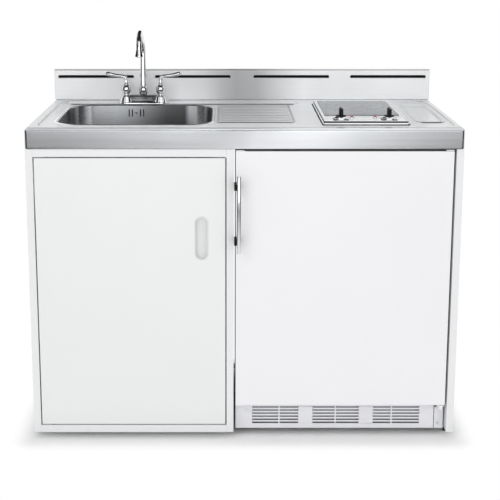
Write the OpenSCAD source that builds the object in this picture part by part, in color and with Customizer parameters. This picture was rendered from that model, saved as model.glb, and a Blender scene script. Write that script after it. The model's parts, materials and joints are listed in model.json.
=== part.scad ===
// Kitchenette unit: stainless worktop with sink, drainer and two-zone hob over a sink cabinet
// and an undercounter refrigerator.
// Frame: X to the right, Y to the back, Z up from the floor; the origin is under the middle.
// Places are worked out from the unit's own corner: X from the middle of the worktop, Y from its
// front edge, and in_frame() moves the whole unit to the origin.

/* [Unit] */
// Overall width, over the worktop
unit_w = 1219; // [1190:1:1400]
// Overall depth, from the worktop's front edge to its back
unit_d = 610; // [600:1:680]
// Height of the worktop above the floor
unit_h = 914; // [880:1:950]
// Clear height under the carcass, taken up by the feet
foot_h = 18; // [10:1:30]
// How far the worktop's front stands proud of the doors
overhang = 2; // [1:0.5:10]
// Gap left for pipes between the carcass and the wall
wall_gap = 8; // [4:1:15]

/* [Worktop] */
// Thickness of the stainless sheet
sheet_t = 1.2; // [0.8:0.1:2]
// Height of the apron round the worktop
apron_h = 57.7; // [52:0.1:75]
// Radius of the worktop's outer corners
worktop_r = 6; // [3:0.5:15]
// Width of the return flange under the apron
flange_w = 25; // [15:1:40]
// Depth of the pressed field below the raised rim
field_step = 4; // [2:0.5:8]
// Raised rim at the left end
rim_left = 29.5; // [20:0.5:40]
// Raised rim at the right end
rim_right = 19.5; // [15:0.5:40]
// Raised rim at the front
rim_front = 28; // [18:0.5:40]
// Raised rim at the back, under and in front of the backsplash
rim_back = 35; // [30:0.5:45]
// Corner radius of the pressed field
field_r = 50; // [30:1:70]

/* [Tap ledge and drainer] */
// Width of the raised ledge that carries the tap
ledge_w = 750; // [600:1:760]
// Depth of the ledge, front to back
ledge_d = 70; // [66:1:72]
// Height of the ledge above the field
ledge_h = 2.5; // [1:0.5:4]
// Width of the ribbed drainer
drainer_w = 232; // [150:1:240]
// Gap from the bowl and the drainer to the tap ledge
press_gap = 20; // [12:1:40]
// Gap from the bowl to the drainer
drainer_gap = 12; // [11:1:20]
// Distance from the front edge to the drainer
drainer_front = 130; // [110:1:140]
// Depth of the drainer's floor below the field
drainer_depth = 3; // [2:0.5:6]
// Number of ribs on the drainer
drainer_ribs = 10; // [5:1:12]
// Width of one rib
rib_w = 9; // [4:0.5:12]
// Height of one rib
rib_h = 2; // [1:0.25:3]
// Width of the dished end, right of the hob
dish_w = 100; // [60:1:104]
// Depth of the dished end, front to back
dish_d = 370; // [200:1:400]
// Distance from the front edge to the dished end
dish_front = 130; // [80:1:150]
// Depth of the dish below the field
dish_depth = 3; // [1:0.5:5]
// Corner radius of the drainer's floor and of the dish
press_r = 8; // [4:1:20]

/* [Backsplash] */
// Height of the backsplash above the worktop
splash_h = 99; // [80:1:150]
// Thickness of the backsplash, front to back
splash_t = 20; // [18:1:24]
// Depth of the flange turned down at its back
splash_lip = 20; // [10:1:25]
// Number of vent slots
vent_count = 4; // [2:2:6]
// Length of one vent slot
vent_len = 246; // [100:1:250]
// Height of one vent slot
vent_h = 10.5; // [8:0.5:14]
// Height of the slots' middle above the worktop
vent_z = 75; // [30:1:80]
// Distance from the unit's end to the outer slots
vent_edge = 12.5; // [10:0.5:30]
// Distance from the unit's middle to the inner slots
vent_mid = 37; // [20:0.5:50]

/* [Sink] */
// Width of the bowl's opening
bowl_w = 447; // [400:1:455]
// Depth of the bowl below the field
bowl_depth = 165; // [130:1:180]
// Corner radius of the bowl
bowl_r = 72; // [50:1:90]
// Radius between the bowl's wall and its floor
bowl_fillet = 28; // [15:1:40]
// Distance from the unit's end to the bowl
bowl_edge = 69.5; // [60:0.5:75]
// Distance from the front edge to the bowl
bowl_front = 97; // [80:1:100]
// Gap from the bowl to the partition
bowl_clear = 43; // [30:1:80]
// Width of the bowl's flange under the worktop
bowl_flange = 8; // [5:1:10]
// Distance of the overflow from the bowl's middle
overflow_shift = -20; // [-80:1:80]
// Depth of the overflow slots' top below the field
overflow_drop = 12; // [8:1:30]
// Height of one overflow slot
overflow_h = 24; // [15:1:30]
// Width of one overflow slot
overflow_w = 3.5; // [2:0.5:5]
// Outer diameter of the overflow hose
hose_d = 16; // [12:1:18]
// Width of the overflow's housing behind the bowl
housing_w = 60; // [56:1:80]
// Wall of the overflow's housing
housing_t = 2; // [1:0.5:3]
// Drop of the overflow hose below the bowl's floor
hose_drop = 30; // [24:1:36]

/* [Drain] */
// Diameter of the drain body's cup
drain_d = 89; // [80:1:92]
// Depth of the drain body's cup
drain_cup_h = 46; // [40:1:60]
// Width of the drain's flange
drain_flange_w = 12; // [8:1:16]
// Wall thickness of the drain parts
drain_t = 2; // [1.5:0.1:3]
// Outer diameter of the waste pipe
pipe_d = 38.1; // [32:0.1:42]
// Wall of the waste pipe
pipe_t = 1.5; // [1:0.1:2.5]
// Length of the tailpiece
tail_len = 74; // [60:1:100]
// Length of the drain body's outlet
outlet_len = 28; // [20:1:40]
// Height of the slip nuts
slip_h = 20; // [16:1:26]
// Rise of the waste pipe above the trap's joints
arm_rise = 64; // [55:1:90]
// Bend radius of the waste pipe
arm_r = 40; // [30:1:50]
// Bend radius of the trap
trap_r = 45; // [35:1:60]
// Lift of the strainer basket
basket_lift = 60; // [30:1:100]

/* [Tap] */
// Distance between the two valves
valve_pitch = 110; // [100:1:120]
// Distance from the unit's back to the tap's axis
tap_back = 80; // [78:1:81]
// Width of the deck body
deck_w = 162; // [155:1:180]
// Depth of the deck body
deck_d = 52; // [44:1:56]
// Height of the deck body
deck_h = 25; // [15:1:30]
// Height of the valve bodies
valve_h = 58; // [45:1:65]
// Radius of the valve bodies at their foot
valve_r = 25; // [22:0.5:27]
// Diameter of the spout's tube
spout_d = 16.5; // [14:0.1:20]
// Height of the spout above the worktop
spout_h = 239; // [180:1:280]
// Reach of the spout, from its axis to the aerator's axis
spout_reach = 160; // [120:1:200]
// Bend radius of the spout
spout_r = 45; // [30:1:60]
// Rise of the spout's neck towards its high point, in degrees
neck_rise = 22; // [0:1:30]
// Length of the spout's straight end, over the aerator
spout_tip = 17; // [8:1:30]
// Outer diameter of the aerator
aerator_d = 25; // [20:0.5:30]
// Height of the aerator
aerator_h = 18; // [14:0.5:25]
// Length of a lever's arm
lever_len = 62; // [40:1:80]
// Rise of a lever's arm, in degrees
lever_rise = 8; // [0:1:20]
// Diameter of the valve stems
stem_d = 8; // [6:0.5:10]
// Diameter of the shanks that hold the tap in the worktop
tail_d = 20.8; // [20.5:0.1:22]
// Diameter of the supply tails under the shanks
supply_d = 20; // [16:0.1:20]
// Length of the supply tails under the shanks
supply_len = 41; // [25:1:60]

/* [Hob] */
// Width of the hob's frame
hob_w = 246; // [230:1:256]
// Depth of the hob's frame
hob_d = 432; // [380:1:440]
// Height of the hob above the field
hob_h = 12; // [10:0.5:20]
// Distance from the unit's right end to the hob
hob_edge = 139.5; // [135:0.5:145]
// Distance from the front edge to the hob
hob_front = 88; // [75:1:92]
// Depth of the control strip in front of the glass
strip_d = 116; // [100:1:125]
// Border of the frame round the glass
hob_border = 14; // [12:0.5:20]
// Thickness of the glass
glass_t = 4; // [3:0.5:6]
// Width of the ledge that carries the glass
glass_ledge = 8; // [5:0.5:12]
// Depth of the pan below the frame's top
hob_pan_h = 58; // [50:1:62]
// Diameter of the front heater
heater_front_d = 144; // [120:1:160]
// Diameter of the rear heater
heater_rear_d = 120; // [100:1:130]
// Distance between the two knobs
knob_pitch = 138; // [120:1:160]
// Distance from the hob's front to the knobs' axes
knob_front = 40; // [35:1:50]
// Diameter of a knob's skirt
knob_d = 42; // [34:1:50]
// Height of a knob's skirt
knob_skirt_h = 7; // [4:0.5:10]
// Width of a knob's grip
grip_w = 11; // [8:0.5:14]
// Height of a knob, over its grip
knob_h = 31; // [24:1:38]
// Diameter of the regulators' shafts
shaft_d = 6; // [4:0.5:8]
// Distance between the two pilot lights
pilot_pitch = 68; // [50:1:90]
// Distance from the hob's front to the pilot lights
pilot_front = 76; // [70:1:90]
// Diameter of a pilot light
pilot_d = 6.5; // [5:0.5:10]

/* [Sink cabinet] */
// Thickness of the side boards
board_t = 20; // [18:0.5:24]
// Thickness of the floor board and height of the top rail
rail_h = 22; // [18:0.5:30]
// Depth of the top rail
rail_d = 60; // [40:1:80]
// Thickness of the back panel
back_t = 8; // [4:0.5:12]
// Height of the back panel
back_h = 520; // [300:1:540]
// Height of the rear rail
rear_rail_h = 80; // [60:1:110]
// Thickness of the rear rail
rear_rail_t = 16; // [12:0.5:20]
// Distance between the two wall-fixing holes
fixing_pitch = 400; // [300:1:450]
// Diameter of the wall-fixing holes
fixing_d = 7; // [5:0.5:10]
// Gap round the cabinet door
door_gap = 3.7; // [3:0.1:5]
// Thickness of the cabinet door
door_t = 18; // [16:0.5:22]
// Distance of the door's pivots from its left edge
pivot_in = 10; // [9:0.5:16]
// Distance of the door's pivots behind its face
pivot_back = 6; // [5.5:0.5:8]
// Diameter of the cabinet door's pivot pins
pivot_d = 5; // [4:0.5:6]
// Depth of the bushes in the door's edges
bush_len = 15; // [10:1:25]
// Outer diameter of the bushes
bush_d = 9; // [8:0.5:10]
// Thickness of the pivot plates
pivot_plate_t = 2; // [1.5:0.25:2.5]
// Length of the pivot plates past the pins
pivot_plate_end = 20; // [10:1:30]
// Width of the catch's strike
strike_w = 40; // [30:1:50]
// Height of the catch's strike
strike_h = 14; // [10:1:20]
// Thickness of the catch's strike
strike_t = 1.5; // [1:0.5:2]
// Height of the magnetic catch
catch_h = 20; // [16:1:26]
// Width of the finger pull
pull_w = 41; // [30:1:60]
// Height of the finger pull
pull_h = 129; // [90:1:180]
// Depth of the finger pull
pull_depth = 12; // [8:0.5:14]
// Distance from the door's free edge to the finger pull's middle
pull_edge = 66.8; // [50:0.1:120]
// Height of the finger pull's middle above the door's foot
pull_z = 557; // [400:1:620]

/* [Refrigerator door] */
// Gap between the partition and the refrigerator's door
bay_gap_left = 6; // [5:0.5:10]
// Gap between the refrigerator's door and the side panel
bay_gap_right = 6.5; // [5.5:0.5:12]
// Gap between the refrigerator's door and the worktop
bay_gap_top = 6.3; // [5.5:0.1:12]
// Height of the kick space under the door
kick_h = 84; // [75:1:110]
// Thickness of the door with its liner
fdoor_t = 46; // [40:1:55]
// Thickness of the door's steel skin
skin_t = 1; // [0.6:0.1:1.5]
// Height of the end caps inside the skin
cap_h = 12; // [11:0.5:20]
// Width of the raised corner caps
corner_w = 24; // [16:1:30]
// How far the corner caps stand out of the door's ends
corner_h = 2.5; // [1:0.5:3]
// Thickness of the gasket
gasket_t = 15.7; // [12:0.1:18]
// Width of the gasket
gasket_w = 18; // [12:1:22]
// Distance of the door's hinge axis from its right edge and its face
hinge_in = 10; // [9:0.5:12]
// Diameter of the refrigerator's hinge pins
hinge_pin_d = 8; // [6:0.5:9]
// Thickness of the hinge plates
hinge_t = 3; // [2:0.25:3]
// Half width of the hinge plates' ears
hinge_ear = 12; // [11:0.5:14]
// Length of the upper hinge plate on the body
hinge_arm = 60; // [52:1:80]
// Gap between the door and the lower hinge plate
hinge_gap = 3; // [2:0.5:4]
// Distance of the liner's raised frame from the door's sides
dyke_side = 64; // [50:1:80]
// Distance of the liner's raised frame from the door's ends
dyke_end = 62; // [50:1:80]
// Height of the liner's raised frame
dyke_d = 30; // [20:1:40]
// Width of the liner's raised frame
dyke_t = 12; // [8:1:20]
// Diameter of the handle's bar
bar_d = 12; // [8:0.5:18]
// Length of the handle's bar
bar_len = 221; // [170:1:400]
// Height of the bar's top below the door's top
bar_drop = 64; // [30:1:200]
// Distance of the bar's middle from the door's left edge
bar_in = 8.5; // [7:0.5:30]
// How far the handle stands out of the worktop's front edge
handle_reach = 36; // [28:1:60]
// Distance between the handle's brackets
bracket_pitch = 156.5; // [120:0.5:300]
// Height of one bracket
bracket_h = 18; // [12:1:30]
// How far the brackets overhang the door's left edge
bracket_out = 5; // [0:0.5:5]
// Width of one bracket
bracket_w = 18; // [15:0.5:26]

/* [Refrigerator body] */
// Inset of the refrigerator's body behind its door's edges
body_inset = 1; // [0.5:0.5:3]
// Gap between the refrigerator's body and the rear rail
fridge_gap = 42; // [36:1:80]
// Thickness of the insulation
wall_t = 40; // [30:1:50]
// Thickness of the plastic liner
liner_t = 2; // [1:0.1:3]
// Height of the compressor's space above the base
machine_h = 160; // [150:1:220]
// Depth of the compressor's space
machine_d = 160; // [155:1:200]
// Diameter of the compressor
compressor_d = 146; // [120:1:150]
// Height of the compressor's shell
compressor_h = 150; // [120:1:155]
// Height of the tray under the refrigerator above the floor
tray_z = 30; // [26:1:45]
// Thickness of the tray's sheet
tray_t = 2; // [1:0.1:3]
// Thickness of the glass shelves
shelf_t = 4; // [3:0.5:6]
// Distance between the glass shelves
shelf_pitch = 165; // [120:1:180]
// Distance from the body's front to the shelves
shelf_front = 76; // [72:1:100]
// Height of the crisper
crisper_h = 150; // [100:1:155]
// Wall of the crisper
crisper_t = 2.5; // [1.5:0.5:4]
// Depth of the door's bins
bin_d = 70; // [50:1:76]
// Height of the bins' front walls
bin_h = 75; // [40:1:90]
// Wall of the bins
bin_t = 3; // [2:0.5:4]
// Heights of the bins above the door liner's foot
bin_z = [10, 240, 430];
// Width of the cold plate
cold_w = 400; // [300:1:480]
// Height of the cold plate
cold_h = 250; // [150:1:300]
// Diameter of the thermostat's dial
dial_d = 44; // [30:1:50]
// Width of the thermostat's box
stat_w = 100; // [80:1:140]
// Depth of the thermostat's box
stat_d = 70; // [50:1:100]
// Height of the thermostat's box
stat_h = 56; // [50:1:70]
// Distance of the condenser from the refrigerator's sides
condenser_in = 60; // [50:1:120]
// Diameter of the condenser's tube
condenser_tube = 5; // [4:0.5:7]
// Diameter of the condenser's wires
condenser_wire = 2; // [1.5:0.5:3]
// Distance between the runs of the condenser's tube
condenser_pitch = 56; // [40:1:60]
// Runs of the condenser's tube
condenser_rows = 8; // [4:2:8]
// Number of the condenser's wires
condenser_wires = 12; // [6:1:24]

/* [Kick grille] */
// Setback of the grille behind the worktop's front edge
kick_back = 32; // [20:1:50]
// Thickness of the grille
kick_t = 3; // [2:0.5:4]
// Width of the hinge block beside the grille
block_w = 26; // [24:1:30]
// Height of the hinge block
block_h = 65; // [50:1:70]
// Rows of slots in the grille
slot_rows = 6; // [3:1:7]
// Distance between the rows
slot_pitch = 9.6; // [8:0.1:11]
// Height of one slot
slot_h = 5; // [3:0.5:6]
// Length of a slot
slot_len = 136; // [100:1:140]
// Distance from the grille's left end to the first slots
slot_start = 49; // [20:1:50]
// Distance between the groups of slots
slot_group = 177; // [160:1:180]

/* [Clearances] */
// Radial clearance of a pin or shaft in its bore
fit = 0.05; // [0.02:0.01:0.1]
// Gap between faces that pass each other
face_gap = 0.3; // [0.3:0.1:1]
// Gap round a panel that drops into its seat
seat_gap = 0.5; // [0.3:0.1:1]

/* [Hidden] */
$fn = 96;
steel = [0.80, 0.81, 0.82];
chrome_c = [0.86, 0.87, 0.88];
white = [0.94, 0.94, 0.95];
door_white = [0.91, 0.92, 0.92];
black = [0.06, 0.06, 0.07];
eps = 0.01;

// Carcass
front_y = -(unit_d - handle_reach) / 2;
half_w = unit_w / 2;
body_top = unit_h - apron_h;
carcass_back = unit_d - wall_gap;
carcass_d = carcass_back - overhang;
cab_x1 = -half_w + bowl_edge + bowl_w + bowl_clear + board_t;
inner_x0 = -half_w + board_t;
inner_x1 = cab_x1 - board_t;
inner_w = inner_x1 - inner_x0;
bay_x1 = half_w - board_t;
floor_top = foot_h + rail_h;
rear_rail_y = carcass_back - rear_rail_t;
rear_rail_z = body_top - rear_rail_h;

// Worktop
field_z = unit_h - field_step;
field_w = unit_w - rim_left - rim_right;
field_d = unit_d - rim_front - rim_back;
field_cx = (rim_left - rim_right) / 2;
field_cy = rim_front + field_d / 2;
ledge_z = field_z + ledge_h;
ledge_cx = -half_w + rim_left + 10 + ledge_w / 2;
ledge_cy = unit_d - rim_back - ledge_d / 2;
press_back = unit_d - rim_back - ledge_d - press_gap;
drainer_d = press_back - drainer_front;
drainer_x0 = -half_w + bowl_edge + bowl_w + drainer_gap;
drainer_cx = drainer_x0 + drainer_w / 2;
drainer_cy = drainer_front + drainer_d / 2;
dish_cx = half_w - rim_right - dish_w / 2;
dish_cy = dish_front + dish_d / 2;
splash_y = unit_d - splash_t;
window_w = wall_gap - sheet_t - 1;

// Sink
bowl_cx = -half_w + bowl_edge + bowl_w / 2;
bowl_back = press_back;
bowl_d = bowl_back - bowl_front;
bowl_cy = bowl_front + bowl_d / 2;
bowl_z = field_z - bowl_depth;
overflow_x = bowl_cx + overflow_shift;
overflow_z = field_z - overflow_drop - overflow_h;
drain_r = drain_d / 2;
cup_z = bowl_z - drain_cup_h;
outlet_r = pipe_d / 2 + 2;
tail_z1 = cup_z - outlet_len;
tail_z0 = tail_z1 - tail_len;
bend_top = tail_z0 + slip_h;
bend_z = tail_z0 - slip_h;
arm_y = bowl_cy + 2 * trap_r;
arm_z = bend_top + arm_rise;

// Tap
tap_y = unit_d - tap_back;
tap_x = bowl_cx;
valve_x = valve_pitch / 2;
deck_top = ledge_z + deck_h;
valve_top = ledge_z + valve_h;
spout_top = unit_h + spout_h - spout_d / 2;
spout_end = spout_top - spout_r;
neck_len = (spout_reach - 2 * spout_r) / cos(neck_rise);
riser_top = round(100 * (spout_end - neck_len * sin(neck_rise))) / 100;
tip_z = spout_end - spout_tip;
nut_h = 18;
tap_nut_h = 8;
shank_z = field_z - sheet_t - tap_nut_h - 2;
socket_depth = 16;
stem_len = 14;

// Hob
hob_x1 = half_w - hob_edge;
hob_cx = hob_x1 - hob_w / 2;
hob_cy = hob_front + hob_d / 2;
hob_z = field_z + hob_h;
glass_w = hob_w - 2 * hob_border;
glass_d = hob_d - strip_d - hob_border;
glass_cy = hob_front + strip_d + glass_d / 2;
well_w = glass_w + 2 * seat_gap + 2 * sheet_t;
well_d = glass_d + 2 * seat_gap + 2 * sheet_t;
ledge_under = hob_z - glass_t - sheet_t;
pan_z = hob_z - hob_pan_h;
pan_front = hob_front + 12;
pan_d = glass_cy + well_d / 2 - pan_front;
heater_z = hob_z - glass_t - face_gap;
heater_h = 24;
front_heater_y = glass_cy - glass_d / 2 + glass_ledge + 3 + heater_front_d / 2;
rear_heater_y = front_heater_y + (heater_front_d + heater_rear_d) / 2 + 8;
knob_y = hob_front + knob_front;
pilot_y = hob_front + pilot_front;
knob_z = hob_z + face_gap;
regulator_h = 26;
regulator_w = 44;

// Cabinet door
cdoor_x0 = inner_x0 + door_gap;
cdoor_w = inner_w - 2 * door_gap;
cdoor_z0 = floor_top + door_gap;
cdoor_z1 = body_top - rail_h - door_gap;
cdoor_h = cdoor_z1 - cdoor_z0;
pivot_x = cdoor_x0 + pivot_in;
pivot_y = overhang + pivot_back;
pull_x = cdoor_x0 + cdoor_w - pull_edge;
pull_cz = cdoor_z0 + pull_z;
pull_wall = 1.5;
pull_rim = 2;

// Refrigerator
fdoor_x0 = cab_x1 + bay_gap_left;
fdoor_x1 = bay_x1 - bay_gap_right;
fdoor_w = fdoor_x1 - fdoor_x0;
fdoor_z0 = foot_h + kick_h;
fdoor_z1 = body_top - bay_gap_top;
fdoor_back = overhang + fdoor_t;
hinge_x = fdoor_x1 - hinge_in;
hinge_y = overhang + hinge_in;
fridge_x0 = fdoor_x0 + body_inset;
fridge_x1 = fdoor_x1 - body_inset;
fridge_w = fridge_x1 - fridge_x0;
fridge_y = fdoor_back + gasket_t + face_gap;
fridge_back = rear_rail_y - fridge_gap;
fridge_z1 = fdoor_z1 + 0.8;
cavity_x0 = fridge_x0 + skin_t + wall_t;
cavity_w = fridge_w - 2 * (skin_t + wall_t);
cavity_z0 = fdoor_z0 + wall_t;
cavity_z1 = fridge_z1 - skin_t - wall_t;
cavity_back = fridge_back - wall_t;
hump_y = fridge_back - machine_d - wall_t;
hump_z = fdoor_z0 + machine_h + wall_t;
shelf_y = fridge_y + shelf_front;
shelf_z = [for (k = [0:2]) hump_z + liner_t + k * shelf_pitch];
bead_h = 6;
dyke_x0 = fdoor_x0 + dyke_side;
dyke_w = fdoor_w - 2 * dyke_side;
dyke_z0 = fdoor_z0 + dyke_end;
dyke_h = fdoor_z1 - fdoor_z0 - 2 * dyke_end;
hinge_z = fdoor_z0 - hinge_gap;
hinge_x0 = hinge_x - hinge_ear;
dial_x = cavity_x0 + cavity_w - 70;
dial_y = fridge_y + 96;
dial_z = cavity_z1 - liner_t - 30;
compressor_z = tray_z + tray_t;
compressor_x = fridge_x1 - 120;
compressor_y = fridge_back - machine_d / 2 + 1;
condenser_x0 = fridge_x0 + condenser_in;
condenser_w = fridge_w - 2 * condenser_in;
condenser_y = fridge_back + 9;
condenser_z0 = fdoor_z0 + machine_h + 50;
condenser_h = (condenser_rows - 1) * condenser_pitch;
handle_x = fdoor_x0 + bar_in;
handle_y = bar_d / 2 - handle_reach;
bar_z0 = fdoor_z1 - bar_drop - bar_len;
bracket_z = [for (s = [-1, 1]) bar_z0 + bar_len / 2 + s * bracket_pitch / 2];
bracket_x0 = fdoor_x0 - bracket_out;
block_x0 = fdoor_x1 - block_w + 2;
grille_x1 = block_x0 - 2;
grille_z1 = fdoor_z0 - 3;
slot_groups = floor((grille_x1 - fdoor_x0 - slot_start - slot_len) / slot_group) + 1;
grille_screw_z = foot_h + 16;
screw_x = hinge_x - 4;
hinge_screws = [for (k = [0, 1]) [screw_x, fridge_y + 20 + 24 * k]];
screw_d = 4;

module in_frame() translate([0, front_y, 0]) children();

// A box from its lowest corner to its highest
module span(a, b) translate(a) cube(b - a);

// A rectangle with round corners, centred
module rrect(w, d, r) {
    square([w - 2 * r, d], center = true);
    square([w, d - 2 * r], center = true);
    for (x = [-1, 1], y = [-1, 1]) translate([x * (w / 2 - r), y * (d / 2 - r)]) circle(r);
}

// A slot with round ends along X, centred
module slot2d(len, wid) {
    square([len - wid, wid], center = true);
    for (x = [-1, 1]) translate([x * (len - wid) / 2, 0]) circle(d = wid);
}

module tube(h, d, bore) difference() {
    cylinder(h = h, d = d);
    translate([0, 0, -1]) cylinder(h = h + 2, d = bore);
}

// An outline drawn in X and Z, made into a plate that runs to the back from the front
module upright(t) translate([0, t, 0]) rotate([90, 0, 0]) linear_extrude(t) children();

// A profile swept round a rounded rectangle; its X is the distance from the corner's centre
module sweep_rrect(w, d, r) for (q = [0:3]) rotate(90 * q) {
    run = q % 2 == 0 ? d : w;
    reach = q % 2 == 0 ? w : d;
    translate([reach / 2 - r, run / 2 - r, 0]) {
        rotate_extrude(angle = 90) children();
        rotate([90, 0, 0]) linear_extrude(run - 2 * r) children();
    }
}

// ---------------------------------------------------------------- worktop

module worktop_outline(inset = 0)
    translate([0, unit_d / 2]) rrect(unit_w - 2 * inset, unit_d - 2 * inset, worktop_r - inset);

// The pressed pocket: a ring of wall and a floor, below the plate it is pressed from
module pocket(w, d, r, top, depth) translate([0, 0, top - depth - sheet_t]) difference() {
    linear_extrude(depth + sheet_t) rrect(w + 2 * sheet_t, d + 2 * sheet_t, r + sheet_t);
    translate([0, 0, sheet_t]) linear_extrude(depth + sheet_t) rrect(w, d, r);
}

module field_pocket(w, d, r, x, y, depth)
    translate([x, y, 0]) pocket(w, d, r, field_z, depth);

module worktop_sheet() {
    difference() {
        translate([0, 0, unit_h - sheet_t]) linear_extrude(sheet_t) worktop_outline();
        translate([field_cx, field_cy, unit_h - 2 * sheet_t])
            linear_extrude(3 * sheet_t) rrect(field_w, field_d, field_r);
    }
    difference() {
        translate([field_cx, field_cy, 0]) pocket(field_w, field_d, field_r, unit_h, field_step);
        translate([drainer_cx, drainer_cy, field_z - 2 * sheet_t])
            linear_extrude(3 * sheet_t) rrect(drainer_w, drainer_d, press_r);
        translate([dish_cx, dish_cy, field_z - 2 * sheet_t])
            linear_extrude(3 * sheet_t) rrect(dish_w - 10, dish_d, press_r);
    }
    field_pocket(drainer_w, drainer_d, press_r, drainer_cx, drainer_cy, drainer_depth);
    field_pocket(dish_w - 10, dish_d, press_r, dish_cx, dish_cy, dish_depth);
    for (k = [0:drainer_ribs - 1])
        translate([drainer_cx, drainer_front + (k + 0.5) * drainer_d / drainer_ribs,
                   field_z - drainer_depth])
            linear_extrude(rib_h) slot2d(drainer_w - 12, rib_w);
    translate([ledge_cx, ledge_cy, field_z]) linear_extrude(ledge_h) rrect(ledge_w, ledge_d, 18);
}

module apron() {
    translate([0, 0, body_top]) linear_extrude(apron_h - sheet_t) difference() {
        worktop_outline();
        worktop_outline(sheet_t);
    }
    translate([0, 0, body_top]) linear_extrude(sheet_t) difference() {
        worktop_outline();
        translate([0, unit_d / 2]) square([unit_w - 2 * flange_w, unit_d - 2 * flange_w], center = true);
    }
}

// Where the vent slots stand, from the middle outwards
function vent_xs() = let (half = vent_count / 2,
    first = vent_mid + vent_len / 2,
    last = half_w - vent_edge - vent_len / 2,
    step = half > 1 ? (last - first) / (half - 1) : 0)
    [for (s = [-1, 1], k = [0:half - 1]) s * (first + k * step)];

module worktop() color(steel) in_frame() difference() {
    union() {
        worktop_sheet();
        apron();
    }
    translate([bowl_cx, bowl_cy, field_z - 5]) linear_extrude(10) rrect(bowl_w, bowl_d, bowl_r);
    translate([hob_cx, hob_cy, field_z - 5])
        linear_extrude(10) square([well_w + 4, hob_d - 20], center = true);
    for (s = [-1, 0, 1]) translate([tap_x + s * valve_x, tap_y, field_z - 5])
        cylinder(h = 10, d = tail_d + 6);
    for (x = vent_xs()) translate([x, unit_d - sheet_t - window_w / 2, body_top - 1])
        linear_extrude(apron_h + 2) slot2d(vent_len, window_w);
}

module backsplash() color(steel) in_frame() {
    z1 = unit_h + splash_h;
    difference() {
        span([-half_w, splash_y, unit_h], [half_w, unit_d, z1]);
        span([-half_w + sheet_t, splash_y + sheet_t, unit_h - 1],
             [half_w - sheet_t, unit_d - sheet_t, z1 - sheet_t]);
        span([-half_w + sheet_t, unit_d - 2 * sheet_t, unit_h - 1],
             [half_w - sheet_t, unit_d + 1, z1 - splash_lip]);
        for (x = vent_xs()) translate([x, splash_y - 1, unit_h + vent_z])
            upright(sheet_t + 2) slot2d(vent_len, vent_h);
    }
}

// ---------------------------------------------------------------- sink

module bowl_profile() {
    translate([bowl_r, -bowl_depth + bowl_fillet]) square([sheet_t, bowl_depth - bowl_fillet - sheet_t]);
    translate([bowl_r, -2 * sheet_t]) square([bowl_flange, sheet_t]);
    translate([bowl_r - bowl_fillet, bowl_fillet - bowl_depth]) intersection() {
        difference() {
            circle(bowl_fillet + sheet_t);
            circle(bowl_fillet);
        }
        translate([0, -bowl_fillet - sheet_t]) square(bowl_fillet + sheet_t);
    }
}

module sink_bowl() color(steel) in_frame() difference() {
    union() {
        translate([bowl_cx, bowl_cy, field_z]) sweep_rrect(bowl_w, bowl_d, bowl_r) bowl_profile();
        translate([bowl_cx, bowl_cy, bowl_z - sheet_t]) linear_extrude(sheet_t)
            rrect(bowl_w - 2 * bowl_fillet, bowl_d - 2 * bowl_fillet, bowl_r - bowl_fillet);
    }
    translate([bowl_cx, bowl_cy, bowl_z - 10]) cylinder(h = 20, d = drain_d);
    for (dx = [-23, -13, 13, 23])
        translate([overflow_x + dx, bowl_back - 2, overflow_z + overflow_h / 2])
            upright(8) rotate(90) slot2d(overflow_h, overflow_w);
    translate([overflow_x, bowl_back - 2, overflow_z + overflow_h / 2])
        upright(8) circle(d = screw_d);
}

module overflow_pipe() color("white") in_frame() {
    y0 = bowl_back + sheet_t;
    y1 = y0 + hose_d;
    z0 = overflow_z - 2 * housing_t;
    z1 = overflow_z + overflow_h + 2 * housing_t;
    pipe_y = y0 + 4 + hose_d / 2;
    low_z = bowl_z - hose_drop;
    elbow = hose_d;
    post = 1.5 * screw_d;
    difference() {
        span([overflow_x - housing_w / 2, y0, z0], [overflow_x + housing_w / 2, y1, z1]);
        for (side = [0, 1]) translate([overflow_x, 0, 0]) mirror([side, 0, 0])
            span([post, y0 - 1, z0 + housing_t], [housing_w / 2 - housing_t, y1 - housing_t, z1 - housing_t]);
        translate([overflow_x, y0 - 1, overflow_z + overflow_h / 2]) upright(9) circle(d = screw_d);
    }
    difference() {
        union() {
            translate([overflow_x, pipe_y, low_z + elbow])
                cylinder(h = z0 - low_z - elbow, d = hose_d);
            translate([overflow_x, pipe_y - elbow, low_z + elbow]) rotate([-90, 0, 90])
                rotate_extrude(angle = 90) translate([elbow, 0]) circle(d = hose_d);
            translate([overflow_x, pipe_y - elbow, low_z]) rotate([90, 0, 0])
                cylinder(h = pipe_y - elbow - bowl_cy, d = hose_d);
        }
        translate([bowl_cx, bowl_cy, low_z - hose_d]) cylinder(h = 2 * hose_d, d = drain_d - 1 + 2 * face_gap);
    }
}

module drain_body() color(steel) in_frame() translate([bowl_cx, bowl_cy, 0]) {
    translate([0, 0, bowl_z]) tube(drain_t, drain_d + 2 * drain_flange_w, drain_d - 1 - 2 * drain_t);
    translate([0, 0, cup_z]) tube(drain_cup_h + drain_t, drain_d - 1, drain_d - 1 - 2 * drain_t);
    translate([0, 0, cup_z - drain_t]) tube(drain_t, drain_d - 1, pipe_d - 2 * pipe_t);
    translate([0, 0, tail_z1]) tube(outlet_len - drain_t, 2 * outlet_r, pipe_d - 2 * pipe_t);
}

// A nut that holds a tube of one diameter below and another above
module slip_nut(h, outer, low_bore, high_bore) difference() {
    cylinder(h = h, d = outer);
    translate([0, 0, -1]) cylinder(h = h / 2 + 1, d = low_bore);
    translate([0, 0, h / 2 - eps]) cylinder(h = h, d = high_bore);
}

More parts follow.
